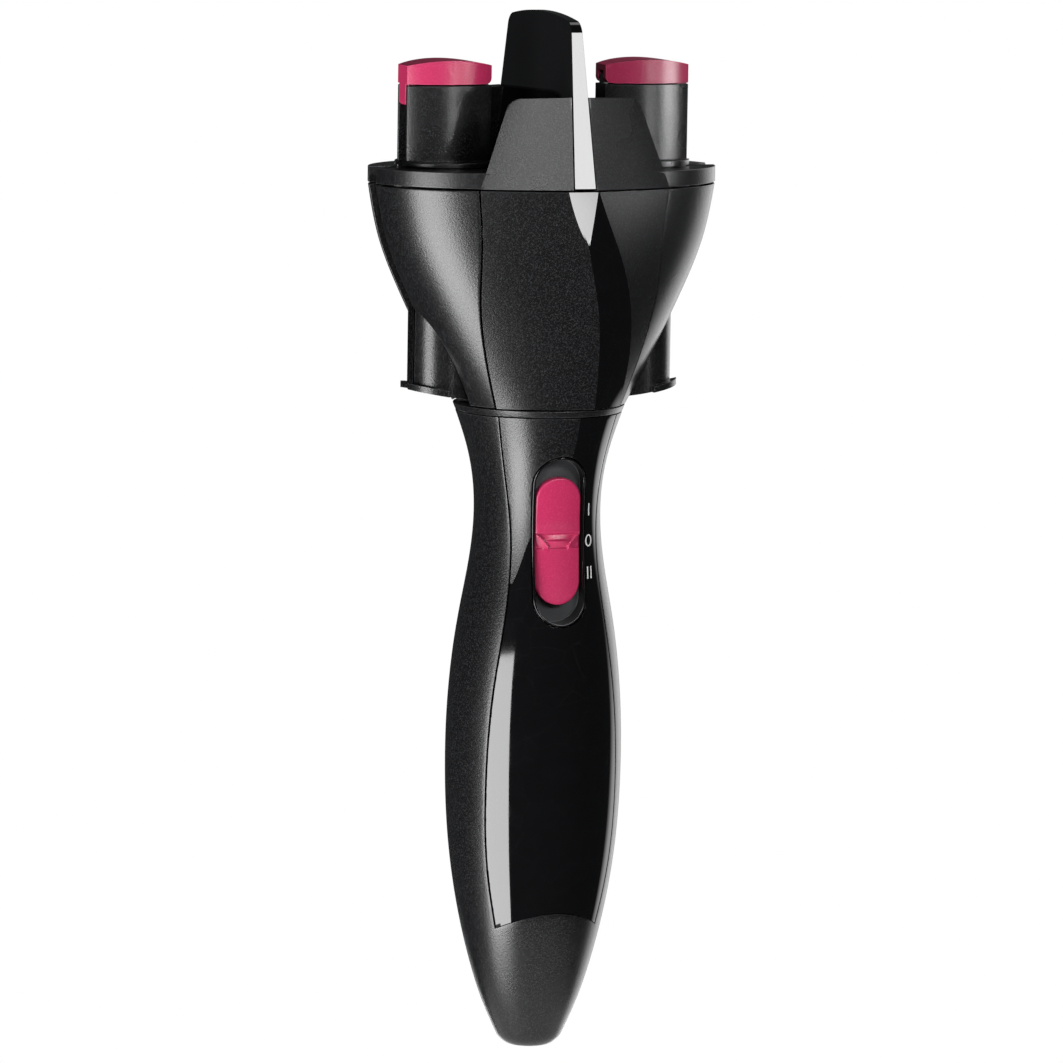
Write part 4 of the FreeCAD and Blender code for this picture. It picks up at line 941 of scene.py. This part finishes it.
def flat_edge(z, hand):
    """Where the narrow flat meets the petal's flank, to the left or right of the crease."""
    near = crease_drift(z) + hand * CREASE_GAP
    if z < FLAT_FOOT[0] or prow_depth(near, z) <= flat_depth(z):
        return near
    far = crease_drift(z) + hand * FLAT_WIDEST
    for _ in range(30):
        middle = (near + far) / 2
        if prow_depth(middle, z) > flat_depth(z):
            near = middle
        else:
            far = middle
    return near


band_edge = faired([
    (160.7, 15.4), (169.3, 16.2), (178.5, 16.0), (187.6, 14.5), (196.7, 11.6), (208.9, 6.1), (214.9, 3.6),
])


def front_petal_point(column, z):
    """Columns: 0 to 1 the left flank, 1 to 2 the flat, 2 to 3 the polished band, 3 to 4 the rest."""
    stops = [-petal_half(z), flat_edge(z, -1), flat_edge(z, 1), band_edge(z), petal_half(z)]
    k = min(int(column), 3)
    x = stops[k] + (stops[k + 1] - stops[k]) * (column - k)
    depth = prow_depth(x, z)
    if z >= FLAT_FOOT[0]:
        depth = min(depth, flat_depth(z))
    return Vector((x, -depth, z))


def rear_petal_point(column, z):
    """The same moulding turned half round."""
    front = front_petal_point(column, z)
    return Vector((-front.x, -front.y, z))


petal_columns = evenly(0, 1, 30) + evenly(1, 2, 3)[1:] + evenly(2, 3, 12)[1:] + evenly(3, 4, 14)[1:]
petal_rows = evenly(HEAD_FOOT, FLAT_FOOT[0], 50) + evenly(FLAT_FOOT[0], HEAD_TOP, 20)[1:]
for place, node in ((front_petal_point, "front_petal"), (rear_petal_point, "rear_petal")):
    petal = laid_sheet(node + "_moulding", petal_columns, petal_rows, place)
    give_wall(petal, WALL, 0.22 * MM, 3)
    smooth(petal, 4)
    stands_for(petal, node, "head")
    dress(petal, satin_black)
    petal.data.materials.append(gloss_black)
    hand = -1 if node == "front_petal" else 1
    for face in petal.data.polygons:
        x, y, z = face.center
        inside = HEAD_FOOT < z < HEAD_TOP and flat_edge(z, -1) < -hand * x < band_edge(z)
        if hand * y > 0 and inside:
            face.material_index = 1

# ---- wings -------------------------------------------------------------------------------------
# The two sides of the head, mouldings of the same grained ABS. Each is split by the slot through
# which a strand of hair is laid in, and cut away below round the hair guide.

TWISTER_X = 25.6 * MM
GUIDE_CLEARANCE = 8.5 * MM
SLOT_HALF = 2.7 * MM

wing_width = faired([(160.7, 21.3), (172.5, 27.83), (187.0, 35.2), (200.95, 41.07), (214.9, 44.1)])
wing_depth = faired([(160.7, 21.3), (172.5, 23.4), (187.0, 25.5), (200.95, 26.82), (214.9, 27.5)])


def wing_spot(angle, z):
    """A plan point of the wing's oval."""
    return wing_width(z) * math.cos(angle), wing_depth(z) * math.sin(angle)


def wing_start(z):
    """Angle at which the wing leaves the petal's seam."""
    return math.acos((petal_half(z) + SEAM) / wing_width(z))


def wing_end(z):
    """Angle at which the wing ends: at the hair slot, or where it meets the hair guide's clearance."""
    start = wing_start(z)
    slot = math.asin(SLOT_HALF / wing_depth(z))
    for k in range(241):
        angle = start + (slot - start) * k / 240
        x, y = wing_spot(angle, z)
        if math.hypot(x - TWISTER_X, y) < GUIDE_CLEARANCE:
            return angle
    return slot


wing_ends = {z: (wing_start(z), wing_end(z)) for z in evenly(HEAD_FOOT, HEAD_TOP, 110)}


def wing_maker(hand_x, hand_y):
    """Lays a wing's front or rear half, on the left or on the right."""

    def point(share, z):
        start, end = wing_ends[z]
        x, y = wing_spot(start + (end - start) * share, z)
        return Vector((hand_x * x, -hand_y * y, z))

    return point


def handed(shares, hand_x, hand_y):
    """Column order that keeps the faces pointing outwards on each quarter of the head."""
    return shares if hand_x * hand_y > 0 else list(reversed(shares))


for side, hand_x in (("left", -1), ("right", 1)):
    halves = []
    for hand_y in (1, -1):
        shares = handed(evenly(0, 1, 36), hand_x, hand_y)
        half = laid_sheet("wing_half", shares, list(wing_ends), wing_maker(hand_x, hand_y))
        give_wall(half, WALL, 0.22 * MM, 3)
        halves.append(half)
    wing = one_piece("wing_" + side + "_moulding", halves)
    stands_for(wing, "wing_" + side, "head")
    dress(wing, satin_black)

# ---- crown -------------------------------------------------------------------------------------
# The deck that carries the twisters, with a rounded rim. The tops of both petals stand on it as
# four shields with rounded shoulders, two each side of the fin.

DECK_FOOT = 214.9 * MM
DECK_TOP = 218.7 * MM
DECK_HALF_WIDTH = 44.1 * MM
DECK_HALF_DEPTH = 27.5 * MM
JOURNAL_BORE = 11.36 * MM
SLOT_LONG = 30 * MM
CUT_TALL = 20 * MM
CREST_TOP = 236.9 * MM
CREST_SLOPE = 0.035
SHOULDER = 2.3 * MM

# The crest at foot and top: its half width, the depth of its side edge, and how far its face
# stands off the fin's edge. Its round would close at so many half widths.
CREST_HALF = (24.3 * MM, 16.5 * MM)
CREST_EDGE = (23.8 * MM, 21.4 * MM)
CREST_PROUD = (0.5 * MM, 0.2 * MM)
CREST_ROUND = 2.5

# The fin's taper, which the crests follow: its reach to front and rear, and its half thickness.
FIN_SHOULDER = 254.6 * MM
FIN_REACH = (30.5 * MM, 22.3 * MM)
FIN_TIP = 256.5 * MM
FIN_HALF = (2.7 * MM, 1.25 * MM)

bpy.ops.object.select_all(action="DESELECT")
deck_depth = DECK_TOP - DECK_FOOT
bpy.ops.mesh.primitive_cylinder_add(vertices=180, radius=1.0, depth=deck_depth, location=(0, 0, 0))
deck = bpy.context.object
edit_all(
    deck,
    lambda: bpy.ops.transform.resize(value=(DECK_HALF_WIDTH, DECK_HALF_DEPTH, 1.0)),
    lambda: bpy.ops.transform.translate(value=(0.0, 0.0, (DECK_TOP + DECK_FOOT) / 2)),
)
for hand in (-1, 1):
    bpy.ops.object.select_all(action="DESELECT")
    bpy.ops.mesh.primitive_cylinder_add(
        vertices=96, radius=JOURNAL_BORE, depth=CUT_TALL, location=(0, 0, 0)
    )
    bore = bpy.context.object
    edit_all(bore, lambda: bpy.ops.transform.translate(value=(hand * TWISTER_X, 0.0, DECK_TOP)))
    cut_away(deck, bore)
    slot_middle = hand * (TWISTER_X + SLOT_LONG / 2)
    cut_away(deck, block((SLOT_LONG, 2 * SLOT_HALF, CUT_TALL), (slot_middle, 0.0, DECK_TOP)))
round_edges(deck, 0.55 * MM, 4, angle=45)
smooth(deck, 35)


def between(ends, share):
    """A size that changes steadily from one end to the other."""
    return ends[0] + (ends[1] - ends[0]) * share


def fin_reach(z):
    """How far the fin reaches to front and rear at a height."""
    return between(FIN_REACH, (z - DECK_FOOT) / (FIN_SHOULDER - DECK_FOOT))


def fin_half(z):
    """Half thickness of the fin at a height."""
    return between(FIN_HALF, (z - HEAD_TOP) / (FIN_TIP - HEAD_TOP))


def crest_share(z):
    """Share of the way up the crest."""
    return (z - DECK_FOOT) / (CREST_TOP - DECK_FOOT)


def shield_half(z):
    """Half width of the crest at a height, rounded at the shoulders."""
    into = max(z - (CREST_TOP - SHOULDER), 0.0)
    return between(CREST_HALF, crest_share(z)) - SHOULDER + math.sqrt(max(SHOULDER**2 - into**2, 0.0))


def shield_depth(x, z):
    """Depth of the shield's face at a point of the front view."""
    share = crest_share(z)
    edge = between(CREST_HALF, share)
    crease = fin_reach(z) + between(CREST_PROUD, share)
    return arc_depth(x, (0.0, crease), (edge, between(CREST_EDGE, share)), (CREST_ROUND * edge, 0.0))


shields = []
shoulder_rows = [CREST_TOP - SHOULDER + SHOULDER * math.sin(math.pi * k / 20) for k in range(11)]
for hand_x in (-1, 1):
    for hand_y in (-1, 1):
        def shield_point(share, z, hand_x=hand_x, hand_y=hand_y):
            near = fin_half(z) + SEAM
            x = near + (shield_half(z) - near) * share
            z -= CREST_SLOPE * (x - near) * crest_share(z)
            return Vector((hand_x * x, -hand_y * shield_depth(x, z), z))

        shield = laid_sheet(
            "shield",
            handed(evenly(0, 1, 22), hand_x, hand_y),
            evenly(DECK_FOOT, CREST_TOP - SHOULDER, 22)[:-1] + shoulder_rows,
            shield_point,
        )
        give_wall(shield, WALL, 0.3 * MM, 3)
        shields.append(shield)
crown_moulding = one_piece("crown_moulding", [deck] + shields)
stands_for(crown_moulding, "crown", "head")
dress(crown_moulding, satin_black)

# ---- fin ---------------------------------------------------------------------------------------
# A tapered blade of polished black ABS on the middle plane. It parts the strands, and its flat
# front and rear edges run down on to the petals.

FIN_FOOT = 215.2 * MM
FIN_ARCH = 1.9 * MM
FIN_CORNER = 2.4 * MM
FIN_TOP_REACH = FIN_REACH[1]
SEAT_SIZE = (20 * MM, 53.2 * MM, 7.7 * MM)
SEAT_CENTRE = (0.0, 0.0, DECK_FOOT + 0.1 * MM)


def fin_top(reach):
    """Height of the fin's top edge at a distance from the middle."""
    into = max(abs(reach) - (FIN_TOP_REACH - FIN_CORNER), 0.0)
    arch = FIN_SHOULDER + FIN_ARCH * (1 - (reach / FIN_TOP_REACH) ** 2)
    return arch - FIN_CORNER + math.sqrt(max(FIN_CORNER**2 - into**2, 0.0))


def fin_side_maker(hand):
    """Lays the left or the right face of the blade."""

    def point(across, up):
        z = FIN_FOOT + (fin_top(across * FIN_TOP_REACH) - FIN_FOOT) * up
        return Vector((hand * fin_half(z), across * fin_reach(z), z))

    return point


fin_columns = [math.sin(math.pi * k / 2) for k in evenly(-1, 1, 44)]
fin_rows = evenly(0, 1, 40)
right_face = laid_sheet("fin_face", fin_columns, fin_rows, fin_side_maker(1))
left_face = laid_sheet("fin_face", list(reversed(fin_columns)), fin_rows, fin_side_maker(-1))
blade = one_piece("fin_blade", [right_face, left_face])

# The two faces are joined all round, and the foot is cut out where it straddles the crown.
bpy.ops.object.mode_set(mode="EDIT")
bpy.ops.mesh.select_all(action="DESELECT")
mesh = bmesh.from_edit_mesh(blade.data)
for edge in mesh.edges:
    edge.select = edge.is_boundary
bmesh.update_edit_mesh(blade.data)
bpy.ops.mesh.bridge_edge_loops()
bpy.ops.mesh.select_all(action="SELECT")
face_outwards()
bpy.ops.object.mode_set(mode="OBJECT")
cut_away(blade, block(SEAT_SIZE, SEAT_CENTRE))
round_edges(blade, 0.35 * MM, 3)
smooth(blade, 30)
stands_for(blade, "fin", "head")
dress(blade, gloss_black)

# ---- twisters, clips and guides ----------------------------------------------------------------
# The turning posts are moulded in grained black ABS, open towards the outside. A sprung pink clip
# closes each one, and a tube with a flared lip below each wing leads the strand out.

for side in ("left", "right"):
    jaws = moulded_copy("twister_post_" + side, "twister_jaws_" + side, "twister_" + side, 0.3 * MM)
    dress(jaws, satin_black)
    strand_clip = moulded_copy("hair_clip_" + side, "strand_clip_" + side, "clip_" + side, 0.3 * MM)
    dress(strand_clip, raspberry)
    guide = moulded_copy("hair_guide_" + side, "strand_guide_" + side, "head", 0.3 * MM)
    dress(guide, satin_black)

# ---- pieces inside -----------------------------------------------------------------------------
# These keep the shape they are made in: turned and stamped steel, moulded nylon and natural acetal,
# and two plain cells in a lacquered sleeve.

# Steel as it comes from turning or drawing: fine lines round the axis and a slight bloom.
drawn_lines = shader_tool("drawn_lines", {
    "place": ("TexCoord", {}),
    "squash": ("Mapping", {"Scale": (1.0, 1.0, 90.0), "Vector": "place.Object"}),
    "noise": ("TexNoise", {"Detail": 4.0, "Vector": "squash.Vector", "Scale": "entry.Size"}),
    "bloom": ("TexNoise", {"Scale": 160.0, "Detail": 3.0, "Vector": "place.Object"}),
    "rough": ("MapRange", {"To Min": -0.06, "To Max": 0.08, "Value": "bloom.Fac"}),
    "sum": ("Math", {0: "entry.Roughness", 1: "rough.Result"}, {"operation": "ADD"}),
    "mix": ("Mix", {"Factor": "noise.Fac", "A": "entry.Shade", "B": "entry.Light shade"}, COLOURS),
    "spot": ("MapRange", {"From Min": 0.55, "From Max": 0.75, "To Max": 0.6, "Value": "bloom.Fac"}),
    "worn": ("Mix", {"Factor": "spot.Result", "A": "mix.Result", "B": "entry.Rubbed shade"}, COLOURS),
    "out": (None, {"Color": "worn.Result", "Roughness": "sum.Value", "Height": "noise.Fac"}),
})


def metal_finish(name, shades, roughness, size, depth):
    """A finish of bare metal."""
    material = moulded_finish(name, shades, roughness, size, depth, drawn_lines)
    material.node_tree.nodes["Principled BSDF"].inputs["Metallic"].default_value = 1.0
    return material


def finish_inside(material, *names):
    """Gives a finish to CAD nodes that keep their shape."""
    for name in names:
        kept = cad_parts[name]
        kept.data.materials.clear()
        kept.data.materials.append(material)


turned_steel = metal_finish(
    "turned_steel",
    [(0.42, 0.42, 0.43), (0.56, 0.56, 0.57), (0.66, 0.66, 0.66)],
    roughness=0.28,
    size=40.0,
    depth=0.004 * MM,
)
finish_inside(turned_steel, "retaining_ring", "carrier_screws", "drive_shaft", "idler_pins")
finish_inside(turned_steel, "clip_pin_left", "clip_pin_right")

plated_can = metal_finish(
    "plated_can",
    [(0.50, 0.49, 0.46), (0.60, 0.59, 0.56), (0.70, 0.69, 0.66)],
    roughness=0.34,
    size=26.0,
    depth=0.003 * MM,
)
finish_inside(plated_can, "gear_motor")

spring_nickel = metal_finish(
    "spring_nickel",
    [(0.60, 0.57, 0.50), (0.70, 0.67, 0.60), (0.78, 0.76, 0.70)],
    roughness=0.22,
    size=60.0,
    depth=0.002 * MM,
)
finish_inside(spring_nickel, "contact_springs")

natural_acetal = moulded_finish(
    "natural_acetal",
    [(0.66, 0.65, 0.60), (0.73, 0.72, 0.68), (0.80, 0.80, 0.77)],
    roughness=0.34,
    size=900.0,
    depth=0.006 * MM,
)
idler_gears = [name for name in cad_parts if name.startswith("idler_gear_")]
finish_inside(natural_acetal, "bearing_bush", "sun_gear", "twister_gear_left", "twister_gear_right")
finish_inside(natural_acetal, *idler_gears)

black_nylon = moulded_finish(
    "black_nylon",
    [(0.014, 0.014, 0.015), (0.026, 0.026, 0.028), (0.06, 0.06, 0.062)],
    roughness=0.5,
    size=1500.0,
    depth=0.012 * MM,
)
finish_inside(black_nylon, "battery_tray", "head_hub", "motor_bracket")

grey_nylon = moulded_finish(
    "grey_nylon",
    [(0.105, 0.11, 0.115), (0.145, 0.15, 0.155), (0.22, 0.22, 0.225)],
    roughness=0.48,
    size=1500.0,
    depth=0.012 * MM,
)
finish_inside(grey_nylon, "switch_block", "gearbox", "gear_carrier")

cell_sleeve = moulded_finish(
    "cell_sleeve",
    [(0.16, 0.24, 0.20), (0.19, 0.28, 0.235), (0.32, 0.36, 0.33)],
    roughness=0.24,
    size=300.0,
    depth=0.004 * MM,
)
finish_inside(cell_sleeve, "battery_cell_left", "battery_cell_right")
